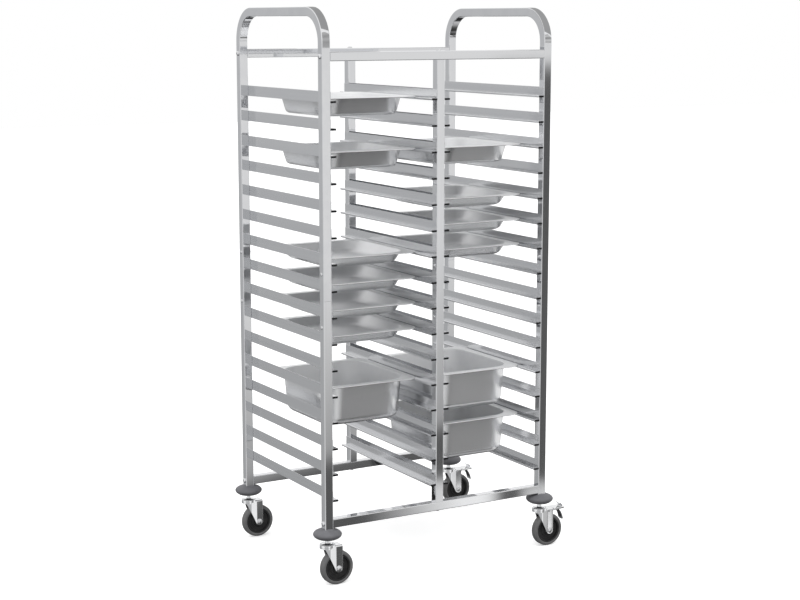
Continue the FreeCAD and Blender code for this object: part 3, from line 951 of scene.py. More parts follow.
@dataclass
class HemShadePlugs:
    """Painted shade: small near-black plugs with flat caps in the open ends of the rails' hems, standing in
    for the shade inside the hollow hems.
    """

    levels: int = 16
    rail_height: float = 30.6
    hem: float = 6.0
    sheet: float = 1.0
    gap: float = 0.15
    cap: float = 1.0
    cap_corner: float = 1.6
    cap_edge: float = 0.4
    peg: float = 9.0
    peg_corner: float = 0.8

    def plug(self, wide: float, tall: float) -> BMesh:
        """One plug along Z, its cap below z = 0 and its peg above.

        Args:
            wide: Width of the cap.
            tall: Height of the cap.

        Returns:
            The plug.
        """
        cap = bmesh.new()
        drawn(cap, section(cap, wide, tall, self.cap_corner, 3), (0.0, 0.0, -self.cap))
        faced_out(cap)
        softened(cap, edges_where(cap, lambda vert: vert.co.z < -self.cap / 2), self.cap_edge)
        peg = bmesh.new()
        walls = 2 * self.sheet
        drawn(peg, section(peg, wide - walls, tall - walls, self.peg_corner, 2), (0.0, 0.0, self.peg))
        faced_out(peg)
        return joined([(cap, Matrix.Identity(4)), (peg, Matrix.Identity(4))])

    def build(self, node: str) -> BMesh:
        """Plugs of all the rails of one node.

        Args:
            node: The rails' CAD node.

        Returns:
            The plugs in place.
        """
        low, high = span(node)
        pitch = (high.z - self.rail_height - low.z) / (self.levels - 1)
        wide = high.x - low.x - 2 * self.gap
        tall = self.hem - 2 * self.gap
        plugs = []
        for level in range(self.levels):
            height = low.z + level * pitch + self.hem / 2
            for y, inward in ((low.y, 1.0), (high.y, -1.0)):
                turn = Matrix.Rotation(math.radians(-90.0 * inward), 4, "X")
                place = Matrix.Translation(((low.x + high.x) / 2, y, height)) @ turn
                plugs.append((self.plug(wide, tall), place))
        return joined(plugs)

    def dress(self, shop: Workshop) -> None:
        """Build the plugs of every rail and finish them near-black, as painted shade in the hem ends."""
        for node in RAIL_NODES:
            # Painted shade: near-black plugs fill the hem ends where only shade would show.
            shop.piece(node.replace("rails", "hem_shade_plugs"), self.build(node), HEM_SHADE_BLACK, [], body="frame")


@dataclass
class Fasteners:
    """Screws and nuts of the post joints, and the bolts of the crossbars."""

    screw_head: float = 9.5
    screw_head_height: float = 2.8
    screw: float = 5.0
    screw_tail: float = 1.5
    nut: float = 8.0
    nut_height: float = 4.0
    nut_edge: float = 0.5
    bolt_head: float = 14.0
    bolt_head_height: float = 4.4
    bolt_shank: float = 8.0
    bolt_reach: float = 12.0
    recess_share: float = 0.2
    recess_floor: float = 0.35
    crown_share: float = 0.3
    crown_round: float = 0.1
    shoulder_share: float = 0.62
    shoulder_round: float = 0.25
    tail_round: float = 0.12
    steps: int = 32

    def domed(self, head: float, height: float, shank: float, length: float) -> BMesh:
        """Domed screw along +Z with its head below z = 0 and a round drive recess.

        Args:
            head: Diameter of the head.
            height: Height of the head.
            shank: Diameter of the shank.
            length: Length of the shank.

        Returns:
            The screw.
        """
        recess, crown = head * self.recess_share, head * self.crown_share
        floor, shoulder = -height * self.recess_floor, -height * self.shoulder_share
        profile = [
            (0.0, floor), (recess, floor), (recess, -height), (crown, -height), (head / 2, shoulder),
            (head / 2, 0.0), (shank / 2, 0.0), (shank / 2, length), (0.0, length),
        ]
        rounds = {3: head * self.crown_round, 4: height * self.shoulder_round, 7: shank * self.tail_round}
        return turned(profile, rounds, self.steps)

    def bolt(self) -> BMesh:
        """One crossbar bolt."""
        return self.domed(self.bolt_head, self.bolt_head_height, self.bolt_shank, self.bolt_reach)

    def dress_joints(self, shop: Workshop, posts: Sequence[tuple[float, float, float]], tube: float) -> None:
        """Build and finish the screws and nuts through the posts.

        Args:
            shop: The workshop.
            posts: X and Y of each post, with the sign along X from its screw heads to its nuts.
            tube: Width of the posts.
        """
        low, high = span("joint_screws")
        heights = (low.z + self.screw_head / 2, high.z - self.screw_head / 2)
        grip = tube + self.nut_height + self.screw_tail
        screws, nuts = [], []
        for x, y, inward in posts:
            for z in heights:
                way = (inward, 0.0, 0.0)
                screw = self.domed(self.screw_head, self.screw_head_height, self.screw, grip)
                nut = hexagon(self.nut, self.nut_height, self.nut_edge)
                screws.append((screw, at((x - inward * tube / 2, y, z), way)))
                nuts.append((nut, at((x + inward * tube / 2, y, z), way)))
        shop.piece("joint_screw_set", joined(screws), BOLT_STEEL, ["joint_screws"])
        shop.piece("joint_nut_set", joined(nuts), BOLT_STEEL, ["joint_nuts"], sharp=25.0)

    def dress(self, shop: Workshop) -> None:
        """Build and finish every fastener of the frame.

        Args:
            shop: The workshop.
        """
        low, high = span("mid_posts_upper")
        tube = high.x - low.x
        feet = {corner: corner.foot() for corner in Corner}
        middles = [((low.x + high.x) / 2, y, 1.0) for y in (low.y + tube / 2, high.y - tube / 2)]
        corners = [(foot.x, foot.y, -corner.side()) for corner, foot in feet.items()]
        self.dress_joints(shop, corners + middles, tube)
        bars = [span(level + "_crossbar_front") for level in ("top", "bottom")]
        bolts = []
        for corner, foot in feet.items():
            for bar_low, bar_high in bars:
                place = (foot.x + corner.side() * tube / 2, foot.y, (bar_low.z + bar_high.z) / 2)
                bolts.append((self.bolt(), at(place, (-corner.side(), 0.0, 0.0))))
        shop.piece("crossbar_bolt_set", joined(bolts), BOLT_STEEL, ["crossbar_bolts"])
        ends = ((bars[0][1].z, -1.0), (bars[1][0].z, 1.0))
        post_bolts = [(self.bolt(), at((x, y, z), (0.0, 0.0, up))) for x, y, _ in middles for z, up in ends]
        shop.piece("mid_post_bolt_set", joined(post_bolts), BOLT_STEEL, ["mid_post_bolts"])


@dataclass
class Pans:
    """Pressed gastronorm pans with a flat rim and rounded walls."""

    flange: float = 22.0
    sheet: float = 0.8
    rim_corner: float = 30.0
    wall_corner: float = 55.0
    rim_drop: float = 3.0
    rim_round: float = 1.4
    lip_round: float = 2.4
    corner_segments: int = 18
    corner_run: float = 1.38
    corner_power: float = 2.35

    def loop(self, bm: BMesh, width: float, length: float, corner: float, height: float) -> list[BMEdge]:
        """Add a rectangle with corners that run evenly into the sides.

        Args:
            bm: The mesh.
            width: Size along X.
            length: Size along Y.
            corner: Radius of the corners.
            height: Height along Z.

        Returns:
            The rectangle's edges.
        """
        reach = corner * self.corner_run
        power = 2.0 / self.corner_power
        quarter = []
        for step in range(self.corner_segments + 1):
            turn = math.radians(90.0 * step / self.corner_segments)
            shares = (math.cos(turn), abs(math.sin(turn)))
            quarter.append(tuple(reach * (share ** power - 1.0) for share in shares))
        spots = []
        for across, along in ((1, 1), (-1, 1), (-1, -1), (1, -1)):
            run = quarter if across * along > 0 else quarter[::-1]
            spots.extend((across * (width / 2 + x), along * (length / 2 + y)) for x, y in run)
        verts = [bm.verts.new((x, y, height)) for x, y in spots]
        return [bm.edges.new(pair) for pair in zip(verts, verts[1:] + verts[:1])]

    def build(self, node: str) -> BMesh:
        """Upper skin of one pan, ready for its sheet thickness.

        Args:
            node: The pan's CAD node.

        Returns:
            The skin in place.
        """
        low, high = span(node)
        width, length = high.x - low.x, high.y - low.y
        _, lean, bottom_round = PanKind.nearest(high.z - low.z).value
        depth = high.z - low.z - self.sheet
        inset = 2 * (self.flange + self.sheet)
        bm = bmesh.new()
        inner = (width - inset, length - inset, self.wall_corner - self.sheet)
        loops = [
            self.loop(bm, width, length, self.rim_corner, -self.rim_drop),
            self.loop(bm, width, length, self.rim_corner, 0.0),
            self.loop(bm, *inner, 0.0),
            self.loop(bm, inner[0] - 2 * lean, inner[1] - 2 * lean, inner[2] - lean, -depth),
        ]
        corners = [[vert.co.copy() for edge in loop for vert in edge.verts] for loop in loops]
        for upper, lower in zip(loops, loops[1:]):
            bmesh.ops.bridge_loops(bm, edges=upper + lower)
        bmesh.ops.edgeloop_fill(bm, edges=loops[-1])
        faced_out(bm)
        if next(face for face in bm.faces if len(face.verts) > 4).normal.z < 0:
            bmesh.ops.reverse_faces(bm, faces=bm.faces[:])
        rounds = ((1, self.rim_round, 3), (2, self.lip_round, 4), (3, bottom_round, 9))
        for index, radius, segments in rounds:
            spots = {spot.to_tuple(3) for spot in corners[index]}
            softened(bm, edges_where(bm, lambda vert: vert.co.to_tuple(3) in spots), radius, segments)
        shifted(bm, ((low.x + high.x) / 2, (low.y + high.y) / 2, high.z))
        return bm

    def dress(self, shop: Workshop) -> None:
        """Build and finish every pan.

        Args:
            shop: The workshop.
        """
        for node in sorted(name for name in frame["nodes"] if name.startswith("pan_")):
            name = node.replace("pan", "gn_pan")
            made = shop.piece(name, self.build(node), PAN_STEEL, [node], sharp=50.0)
            wall = made.modifiers.new("sheet", "SOLIDIFY")
            wall.thickness = self.sheet * MM
            wall.offset = -1.0
            wall.use_even_offset = True
            shop.even(made)


@dataclass
class Bumpers:
    """Domed corner bumpers over the castors."""

    seat: float = 36.0
    base: float = 58.0
    rim: float = 12.3
    bore: float = 12.2
    curve_steps: int = 14
    steps: int = 64

    def curve(self, radius: float, end: float, height: float) -> list[Point]:
        """Points of an ellipse from the widest line to an end.

        Args:
            radius: Radius of the widest line.
            end: Radius of the end.
            height: Height of the end above the widest line.

        Returns:
            Radius and height of the points.
        """
        sweep = math.acos(end / radius)
        turns = [sweep * step / self.curve_steps for step in range(self.curve_steps + 1)]
        rise = height / math.sin(sweep)
        return [(radius * math.cos(turn), self.rim + rise * math.sin(turn)) for turn in turns]

    def build(self) -> BMesh:
        """Mesh of the four bumpers."""
        low, high = span("corner_bumpers")
        tall = high.z - low.z
        radius = Corner.FRONT_LEFT.foot().x - low.x
        under = self.curve(radius, self.base / 2, -self.rim)[::-1]
        over = self.curve(radius, self.seat / 2, tall - self.rim)[1:]
        profile = [(self.bore / 2, 0.0), *under, *over, (self.bore / 2, tall)]
        feet = [corner.foot() for corner in Corner]
        return joined((turned(profile, {}, self.steps), at((foot.x, foot.y, low.z))) for foot in feet)

    def dress(self, shop: Workshop) -> None:
        """Build and finish the bumpers."""
        shop.piece("corner_bumper_set", self.build(), BUMPER_PLASTIC, ["corner_bumpers"])


@dataclass
class Wheels:
    """Wheel centres with stepped rings on both sides, and their rubber treads."""

    bore: float = 6.05
    boss: float = 13.5
    web: float = 4.8
    ring: float = 6.6
    rim: float = 11.0
    boss_chamfer: Point = (3.0, 2.0)
    dish: Point = (1.5, 6.2)
    dish_end: Point = (6.0, 5.2)
    ring_run: Point = (6.8, 9.4)
    web_start: float = 10.4
    web_end: float = 6.2
    rim_run: Point = (4.8, 4.0)
    rim_chamfer: float = 0.6
    lip: Point = (1.6, 0.9)
    parting: Point = (0.35, 0.45)
    tread: float = 10.0
    tread_round: float = 6.5
    shoulder_round: float = 0.7
    hub_steps: int = 64
    tyre_steps: int = 88

    def hub(self, corner: Corner) -> BMesh:
        """Centre of one wheel.

        Args:
            corner: The castor's corner.

        Returns:
            The wheel centre in place.
        """
        low, high = span("wheel_hub_" + corner.value)
        outer = (high.x - low.x) / 2
        side = (high.y - low.y) / 2
        boss = self.boss
        half = [
            (self.bore, side), (boss - self.boss_chamfer[0], side), (boss, side - self.boss_chamfer[1]),
            (boss + self.dish[0], self.dish[1]), (boss + self.dish_end[0], self.dish_end[1]),
            (boss + self.ring_run[0], self.ring), (boss + self.ring_run[1], self.ring),
            (boss + self.web_start, self.web), (outer - self.web_end, self.web),
            (outer - self.rim_run[0], self.rim - self.rim_chamfer), (outer - self.rim_run[1], self.rim),
            (outer, self.rim),
        ]
        profile = half + [(radius, -height) for radius, height in reversed(half)]
        rounds = {2: 1.0, 5: 0.5, 6: 0.6, 9: 0.8}
        rounds.update({len(profile) - 1 - index: radius for index, radius in list(rounds.items())})
        turn = turned(profile, rounds, self.hub_steps, 3)
        return joined([(turn, at(corner.wheel(), (0.0, 1.0, 0.0)))])

    def tyre(self, corner: Corner) -> BMesh:
        """Tread of one wheel with rounded shoulders and a fine parting line.

        Args:
            corner: The castor's corner.

        Returns:
            The tread in place.
        """
        low, high = span("wheel_tyre_" + corner.value)
        outer = (high.x - low.x) / 2
        side = (high.y - low.y) / 2
        inner = outer - self.tread
        half = [
            (inner, side - self.lip[1]), (inner + self.lip[0], side), (outer, side),
            (outer, self.parting[1]), (outer - self.parting[0], 0.0),
        ]
        profile = half + [(radius, -height) for radius, height in reversed(half[:-1])]
        rounds = {1: self.shoulder_round, 2: self.tread_round, 6: self.tread_round, 7: self.shoulder_round}
        turn = turned(profile, rounds, self.tyre_steps, 7)
        return joined([(turn, at(corner.wheel(), (0.0, 1.0, 0.0)))])


@dataclass
class BrakePedals:
    """Brake pedals: arm, hollow deck, hooked release tab and drooping tongue.

    The ends of the tab and the tongue are distances back from the deck's front and up from its top. Only the
    tongue's tip is measured up from the pedal's lowest point.
    """

    rise: float = 5.0
    deck_start: float = 42.0
    deck_width: float = 34.0
    deck_corner: float = 4.5
    deck_drop: float = 5.5
    deck_round: float = 1.4
    deck_sheet: float = 2.0
    arm_width: float = 26.0
    arm_end: float = 60.0
    arm_under: float = 3.0
    arm_over: float = 2.9
    arm_round: float = 2.6
    edge: float = 0.5
    edge_angle: float = 60.0
    strip_sheet: float = 2.4
    strip_width: float = 22.0
    tab_root: Point = (5.0, -1.0)
    tab_tip: Point = (12.0, 10.0)
    tab_bow: float = -2.5
    tab_round: float = 3.0
    tongue_root: Point = (22.0, -1.5)
    tongue_tip: Point = (1.3, 1.0)
    tongue_bow: float = 4.0
    tongue_round: float = 6.0
    bow_steps: int = 10

    def strip(self, start: Point, end: Point, bow: float, end_round: float) -> BMesh:
        """Sheet strip across Y that follows a parabola.

        Args:
            start: X and Z of the beginning.
            end: X and Z of the far end.
            bow: How far the strip bows to the left of its way.
            end_round: Corner rounding of the far end.

        Returns:
            The strip, with its sheet thickness.
        """
        run, climb = end[0] - start[0], end[1] - start[1]
        chord = math.hypot(run, climb)
        bm = bmesh.new()
        rows = []
        for step in range(self.bow_steps + 1):
            share = step / self.bow_steps
            lift = 4.0 * bow * share * (1.0 - share) / chord
            x, z = start[0] + run * share - climb * lift, start[1] + climb * share + run * lift
            rows.append([bm.verts.new((x, side * self.strip_width / 2, z)) for side in (-1.0, 1.0)])
        for (left, right), (next_left, next_right) in zip(rows, rows[1:]):
            bm.faces.new((left, right, next_right, next_left))
        rounded(bm, rows[-1], end_round, 5)
        faced_out(bm)
        bmesh.ops.solidify(bm, geom=bm.faces[:], thickness=self.strip_sheet)
        faced_out(bm)
        softened(bm, sharp_edges(bm, self.edge_angle), self.edge)
        return bm

    def deck(self, reach: float, top: float) -> BMesh:
        """Hollow plate under the foot, with rounded edges.

        Args:
            reach: X of its front edge.
            top: Height of its top.

        Returns:
            The plate.
        """
        bm = bmesh.new()
        face = section(bm, reach - self.deck_start, self.deck_width, self.deck_corner, 6)
        shifted(bm, ((self.deck_start + reach) / 2, 0.0, top - self.deck_drop))
        drawn(bm, face, (0.0, 0.0, self.deck_drop))
        faced_out(bm)
        softened(bm, sharp_edges(bm, self.edge_angle), self.deck_round, 3)
        bmesh.ops.solidify(bm, geom=bm.faces[:], thickness=self.deck_sheet)
        faced_out(bm)
        return bm

    def arm(self, pin: Vector) -> BMesh:
        """Solid arm from the pin to the deck.

        Args:
            pin: Middle of the pin.

        Returns:
            The arm.
        """
        begin, under, over = pin.x - self.arm_under, pin.z - self.arm_under, pin.z + self.arm_over
        corners = [(begin, under), (self.arm_end, under), (self.arm_end, over), (begin, over)]
        bm = bmesh.new()
        side = bm.faces.new([bm.verts.new((x, -self.arm_width / 2, z)) for x, z in corners])
        rounded(bm, [side.verts[0], side.verts[3]], self.arm_round, 4)
        bm.faces.ensure_lookup_table()
        drawn(bm, bm.faces[0], (0.0, self.arm_width, 0.0))
        faced_out(bm)
        softened(bm, sharp_edges(bm, self.edge_angle), self.edge)
        return bm

    def build(self, corner: Corner) -> BMesh:
        """Pedal of one castor.

        Args:
            corner: The castor's corner.

        Returns:
            The pedal in place.
        """
        foot = corner.foot()
        low, high = span("brake_pedal_" + corner.value)
        pin_low, pin_high = span("brake_pin_" + corner.value)
        pin = Vector(((pin_low.x + pin_high.x) / 2 - foot.x, 0.0, (pin_low.z + pin_high.z) / 2))
        reach = high.x - foot.x
        top = pin.z + self.rise
        tab = self.strip(
            (reach - self.tab_root[0], top + self.tab_root[1]),
            (reach - self.tab_tip[0], top + self.tab_tip[1]), self.tab_bow, self.tab_round,
        )
        tongue = self.strip(
            (reach - self.tongue_root[0], top + self.tongue_root[1]),
            (reach - self.tongue_tip[0], low.z + self.tongue_tip[1]), self.tongue_bow, self.tongue_round,
        )
        place = at((foot.x, foot.y, 0.0))
        return joined((part, place) for part in (self.deck(reach, top), self.arm(pin), tab, tongue))


@dataclass
class Castors:
    """Swivel castors with pressed forks, two of them with brake pedals."""

    trail: float = 28.0
    stem: float = 12.0
    head: float = 45.0
    head_thickness: float = 2.7
    head_edge: float = 0.4
    head_crown: Point = (4.0, 0.9)
    collar_share: float = 0.8
    collar_rise: float = 1.2
    stem_rise: float = 2.0
    race: float = 2.0
    rivet: float = 19.0
    rivet_thickness: float = 2.6
    kingpin: float = 12.0
    kingpin_gap: float = 0.05
    inside: float = 30.0
    leg: float = 2.5
    plate: float = 3.0
    nose: float = 11.5
    nose_step: int = 12
    nose_end: float = -88.0
    neck: float = 15.5
    lead: float = 4.0
    skirt: float = 4.5
    cup_wall: float = 2.2
    cup_gap: float = 1.6
    cup_rise: float = 3.6
    cup_lip: float = 1.0
    fold_share: float = 0.72
    fold_cuts: tuple[float, ...] = (0.0, 1.0, 3.0, 12.0)
    fold_slack: float = 0.5
    bend_share: float = 1.01
    neck_cuts: tuple[float, ...] = (-2.0, 0.0, 3.0)
    front_turn: float = 0.15
    neck_turn: float = 0.43
    neck_start: float = 18.0
    fork_bend: float = 4.0
    fork_edge: float = 0.45
    fork_edge_angle: float = 55.0
    axle: float = 8.0
    axle_head: float = 13.0
    axle_head_height: float = 5.0
    axle_nut_height: float = 6.5
    axle_edge: float = 0.8
    axle_tail: float = 2.0
    axle_tail_round: float = 0.8
    cap_share: float = 1.25
    cap_height: float = 1.2
    cap_sink: float = 0.4
    cap_round: float = 0.9
    washer_share: float = 0.62
    washer: float = 0.9
    washer_round: float = 0.4
    spacer_wall: float = 2.0
    ring_steps: int = 32
    pin_steps: int = 28
    steps: int = 56
    wheels: Wheels = field(default_factory=Wheels)
    pedals: BrakePedals = field(default_factory=BrakePedals)

    def fork_top(self, corner: Corner) -> float:
        """Height of a fork's crown, in millimetres."""
        return span("castor_fork_" + corner.value)[1].z

    def stems(self) -> BMesh:
        """Stems, swivel heads and rivets of all castors."""
        low, high = span("castor_stems")
        top = self.fork_top(Corner.FRONT_LEFT) + self.race
        head_top = top + self.head_thickness
        rivet_top = low.z + self.rivet_thickness
        rivet, kingpin, stem = self.rivet / 2, self.kingpin / 2, self.stem / 2
        disc = self.head / 2 - self.cup_wall - self.cup_gap
        profile = [
            (0.0, high.z), (0.0, low.z), (rivet, low.z), (rivet, rivet_top), (kingpin, rivet_top),
            (kingpin, top), (disc, top), (disc, head_top - self.head_edge),
            (disc - self.head_crown[0], head_top + self.head_crown[1]),
            (self.stem * self.collar_share, head_top + self.collar_rise), (stem, head_top + self.stem_rise),
            (stem, high.z),
        ]
        rounds = {2: 1.2, 7: 0.9, 8: 2.5, 9: 1.2, 10: 0.6}
        feet = [corner.foot() for corner in Corner]
        return joined((turned(profile, rounds, self.steps), at((foot.x, foot.y, 0.0))) for foot in feet)

    def blank(self, half: float, rise: float, axle_z: float) -> BMesh:
        """Straight channel that a fork is cut and folded from, open in front, behind and below the axle.

        Args:
            half: Half the outside width.
            rise: Height of the crown above the axle.
            axle_z: Height of the axle.

        Returns:
            The channel's outer skin.
        """
        bm = bmesh.new()
        face = section(bm, 2 * half, 2 * (rise + self.nose), self.fork_bend, 5)
        quarter_turned(bm, "X")
        quarter_turned(bm, "Z")
        shifted(bm, (-self.neck - self.lead, 0.0, axle_z - self.nose))
        rim = list(face.edges)
        bmesh.ops.delete(bm, geom=[face], context="FACES_ONLY")
        made = bmesh.ops.extrude_edge_only(bm, edges=rim)["geom"]
        far = [part for part in made if isinstance(part, BMVert)]
        run = self.trail + self.nose + self.neck + self.lead
        bmesh.ops.translate(bm, vec=(run, 0.0, 0.0), verts=far)
        return bm

    def taper(self, bm: BMesh, rise: float, axle_z: float) -> None:
        """Cut the legs of a fork to a straight front and a round nose about the axle.

        Args:
            bm: The fork's skin.
            rise: Height of the crown above the axle.
            axle_z: Height of the axle.
        """
        ahead = self.trail + self.neck
        lean = math.atan2(rise, ahead) + math.asin(self.nose / math.hypot(ahead, rise))
        steps = [step for step in range(0, 180, self.nose_step) if math.degrees(lean) - step > self.nose_end]
        for turn in (lean - math.radians(step) for step in steps):
            out = Vector((-math.sin(turn), 0.0, -math.cos(turn)))
            cut(bm, Vector((self.trail, 0.0, axle_z)) + out * self.nose, out, clear=True)

    def draw_in(self, bm: BMesh, half: float) -> None:
        """Fold the front of a fork's legs inwards, more so at the neck.

        Args:
            bm: The fork's skin.
            half: Half the outside width.
        """
        fold = self.trail - self.nose * self.fold_share
        neck = self.neck_start
        for back in (*self.fold_cuts, *(neck + beyond for beyond in self.neck_cuts)):
            cut(bm, (fold - back, 0, 0), (1, 0, 0))
        for vert in bm.verts:
            back = fold - vert.co.x
            if back > 0 and abs(vert.co.y) > half - self.fork_bend * self.bend_share:
                draw = self.front_turn * max(back - self.fold_slack, 0.0)
                draw += self.neck_turn * max(back - neck, 0.0)
                vert.co.y -= math.copysign(draw, vert.co.y)

    def channel(self, top: float, axle_z: float) -> BMesh:
        """Pressed channel of a fork about the swivel axis: crown and two tapered legs with a folded front.

        Args:
            top: Height of the crown.
            axle_z: Height of the axle.

        Returns:
            The channel, with its sheet thickness.
        """
        half = self.inside / 2 + self.leg
        bm = self.blank(half, top - axle_z, axle_z)
        self.taper(bm, top - axle_z, axle_z)
        self.draw_in(bm, half)
        bmesh.ops.remove_doubles(bm, verts=bm.verts[:], dist=1e-3)
        faced_out(bm)
        if max(bm.faces, key=lambda part: part.calc_center_median().z).normal.z < 0:
            bmesh.ops.reverse_faces(bm, faces=bm.faces[:])
        bmesh.ops.solidify(bm, geom=bm.faces[:], thickness=self.leg)
        faced_out(bm)
        softened(bm, sharp_edges(bm, self.fork_edge_angle), self.fork_edge)
        return bm

    def cup(self, top: float) -> BMesh:
        """Round swivel plate of a fork with its skirt.

        Args:
            top: Height of the crown.

        Returns:
            The cup about the swivel axis.
        """
        bore = self.kingpin / 2 + self.kingpin_gap
        outer, under = self.head / 2, top - self.plate
        inner, wall, brim = outer - self.leg, outer - self.cup_wall, top + self.cup_rise
        lip = under - self.cup_lip
        profile = [
            (bore, top), (bore, under), (inner, under), (inner, lip),
            (outer, lip), (outer, brim), (wall, brim), (wall, top),
        ]
        plate = turned(profile, {5: 1.2, 6: 0.7}, self.steps)
        skirt = bmesh.new()
        low = under - self.skirt
        corners = [(inner, low), (outer, low), (outer, under), (inner, under)]
        face = skirt.faces.new([skirt.verts.new((0.0, radius, height)) for radius, height in corners])
        bent(skirt, face, (0, 0, 0), (0, 0, 1), 180.0, self.steps // 2)
        faced_out(skirt)
        return joined([(plate, Matrix.Identity(4)), (skirt, Matrix.Identity(4))])

    def fork(self, corner: Corner) -> BMesh:
        """Fork of one castor.

        Args:
            corner: The castor's corner.

        Returns:
            The fork in place.
        """
        top = self.fork_top(corner)
        foot = corner.foot()
        place = at((foot.x, foot.y, 0.0))
        return joined([(self.channel(top, corner.wheel().z), place), (self.cup(top), place)])

    def axle_set(self, corner: Corner) -> BMesh:
        """Axle bolt with head, washer, nut and spacer tube.

        Args:
            corner: The castor's corner.

        Returns:
            The axle in place.
        """
        radius = self.axle / 2
        cap = radius * self.cap_share
        washer = self.axle_head * self.washer_share
        spacer = radius + self.spacer_wall

        def ring(inner: float, outer: float, height: float) -> list[Point]:
            """Profile of a plain ring that stands on z = 0."""
            return [(inner, 0.0), (outer, 0.0), (outer, height), (inner, height)]

        half = self.inside / 2 + self.leg
        x, y, z = corner.wheel()
        front, back = (0.0, -1.0, 0.0), (0.0, 1.0, 0.0)
        near, far = at((x, y - half, z), front), (x, y + half, z)
        cap_place = (x, y - half - self.axle_head_height + self.cap_sink, z)
        tail_place = (x, y + half + self.axle_nut_height, z)
        crown = ring(0.0, cap, self.cap_height)
        tail = ring(0.0, radius, self.axle_tail)
        tube = ring(radius, spacer, self.inside)
        return joined([
            (hexagon(self.axle_head, self.axle_head_height, self.axle_edge), near),
            (turned(ring(radius, washer, self.washer), {2: self.washer_round}, self.ring_steps), near),
            (turned(crown, {2: self.cap_round}, self.pin_steps), at(cap_place, front)),
            (hexagon(self.axle_head, self.axle_nut_height, self.axle_edge), at(far, back)),
            (turned(tail, {2: self.axle_tail_round}, self.pin_steps), at(tail_place, back)),
            (turned(tube, {}, self.ring_steps), at((x, y - self.inside / 2, z), back)),
        ])

    def dress(self, shop: Workshop) -> None:
        """Build and finish every castor.

        Args:
            shop: The workshop.
        """
        shop.piece("castor_stem_set", self.stems(), ZINC, ["castor_stems"])
        shop.dress("swivel_bearings", INNER_STEEL)
        for corner in Corner:
            name = corner.value
            fork, axle = self.fork(corner), self.axle_set(corner)
            hub, tyre = self.wheels.hub(corner), self.wheels.tyre(corner)
            shop.even(shop.piece("fork_" + name, fork, ZINC, ["castor_fork_" + name], sharp=50.0))
            shop.piece("axle_" + name, axle, BOLT_STEEL, ["castor_axle_" + name], sharp=30.0)
            shop.piece("hub_" + name, hub, WHEEL_PLASTIC, ["wheel_hub_" + name], sharp=30.0)
            shop.piece("tyre_" + name, tyre, TYRE_RUBBER, ["wheel_tyre_" + name], sharp=30.0)
            if corner.braked():
                pedal = self.pedals.build(corner)
                shop.even(shop.piece("pedal_" + name, pedal, ZINC, ["brake_pedal_" + name], sharp=40.0))
                shop.dress("brake_pin_" + name, BOLT_STEEL)


@dataclass(frozen=True)
class ShadeCard:
    """Upright grey card across X that only mirror images show, in metres."""

    name: str
    across: float
    depth: Point
    height: Point
    tone: float
    stripe: float = 0.0
    period: float = 0.2
    darkest: float = 1.5

    def glow(self) -> bpy.types.Material:
        """Grey with soft level stripes."""
        made, sheet, _ = node_material(self.name)
        split = sheet.node("ShaderNodeSeparateXYZ")
        sheet.feed(split.inputs[0], sheet.node("ShaderNodeTexCoord").outputs["Object"])
        pace = math.tau / self.period
        phase = sheet.maths("MULTIPLY_ADD", split.outputs["Z"], pace, -pace * self.darkest)
        wave = sheet.maths("COSINE", phase)
        light = sheet.node("ShaderNodeEmission")
        sheet.feed(light.inputs["Strength"], sheet.maths("MULTIPLY_ADD", wave, -self.stripe, self.tone))
        sheet.feed(made.node_tree.nodes["Material Output"].inputs["Surface"], light.outputs[0])
        return made

    def build(self) -> None:
        """Build the card and hide it from all but mirror images."""
        bm = bmesh.new()
        bmesh.ops.create_grid(bm, x_segments=1, y_segments=1, size=0.5)
        sizes = (self.height[1] - self.height[0], self.depth[1] - self.depth[0], 1.0)
        bmesh.ops.scale(bm, vec=sizes, verts=bm.verts[:])
        quarter_turned(bm, "Y")
        shifted(bm, (self.across, sum(self.depth) / 2, sum(self.height) / 2))
        card = placed(self.name, bm, self.glow())
        for ray in ("camera", "diffuse", "shadow", "transmission", "volume_scatter"):
            setattr(card, "visible_" + ray, False)


SHADE_CARDS = (
    ShadeCard("left_card", -0.133, (-0.618, 0.36), (1.64, 2.14), 0.37),
    ShadeCard("left_strip", -0.133, (-0.82, -0.664), (1.498, 1.83), 0.43, 0.06, 0.172, 1.54),
    ShadeCard("right_card", 0.591, (-0.588, 0.24), (1.63, 2.02), 0.39),
    ShadeCard("right_strip", 0.591, (-0.72, -0.6), (1.51, 1.685), 0.48, 0.16, 0.1, 1.596),
)


@dataclass(frozen=True)
class Zone:
    """Region of the room inside soft limits, each written from its outer to its inner end in degrees."""

    headings: tuple[Point, ...] = ()
    heights: tuple[Point, ...] = ()


BACK_CORNER = Zone(((-100.0, -135.0),), ((25.0, -5.0),))
LEFT_FLANK = Zone(((-8.0, -17.0), (-66.0, -48.0)), ((14.0, -4.0),))
RIGHT_REAR = Zone(((108.0, 126.0),), ((1.0, -5.0),))
LOW_FLANK = Zone(((-8.0, -24.0), (-80.0, -60.0)), ((-4.0, -12.0),))
FRONT_WALL = Zone(((8.0, 22.0), (60.0, 50.0)), ((14.0, 4.0), (-34.0, -24.0)))
SCREEN_POST = Zone(((32.8, 33.8),), ((-1.1, -1.9),))
FOOT = Zone(heights=((-52.0, -64.0),))
UNDERSIDE = Zone(heights=((-22.0, -32.0),))
SECOND_GLEAM = Zone(((34.1, 34.6), (36.2, 35.8)))
GLEAM_BAND = Zone(heights=((-15.3, -15.8), (-21.0, -19.0)))


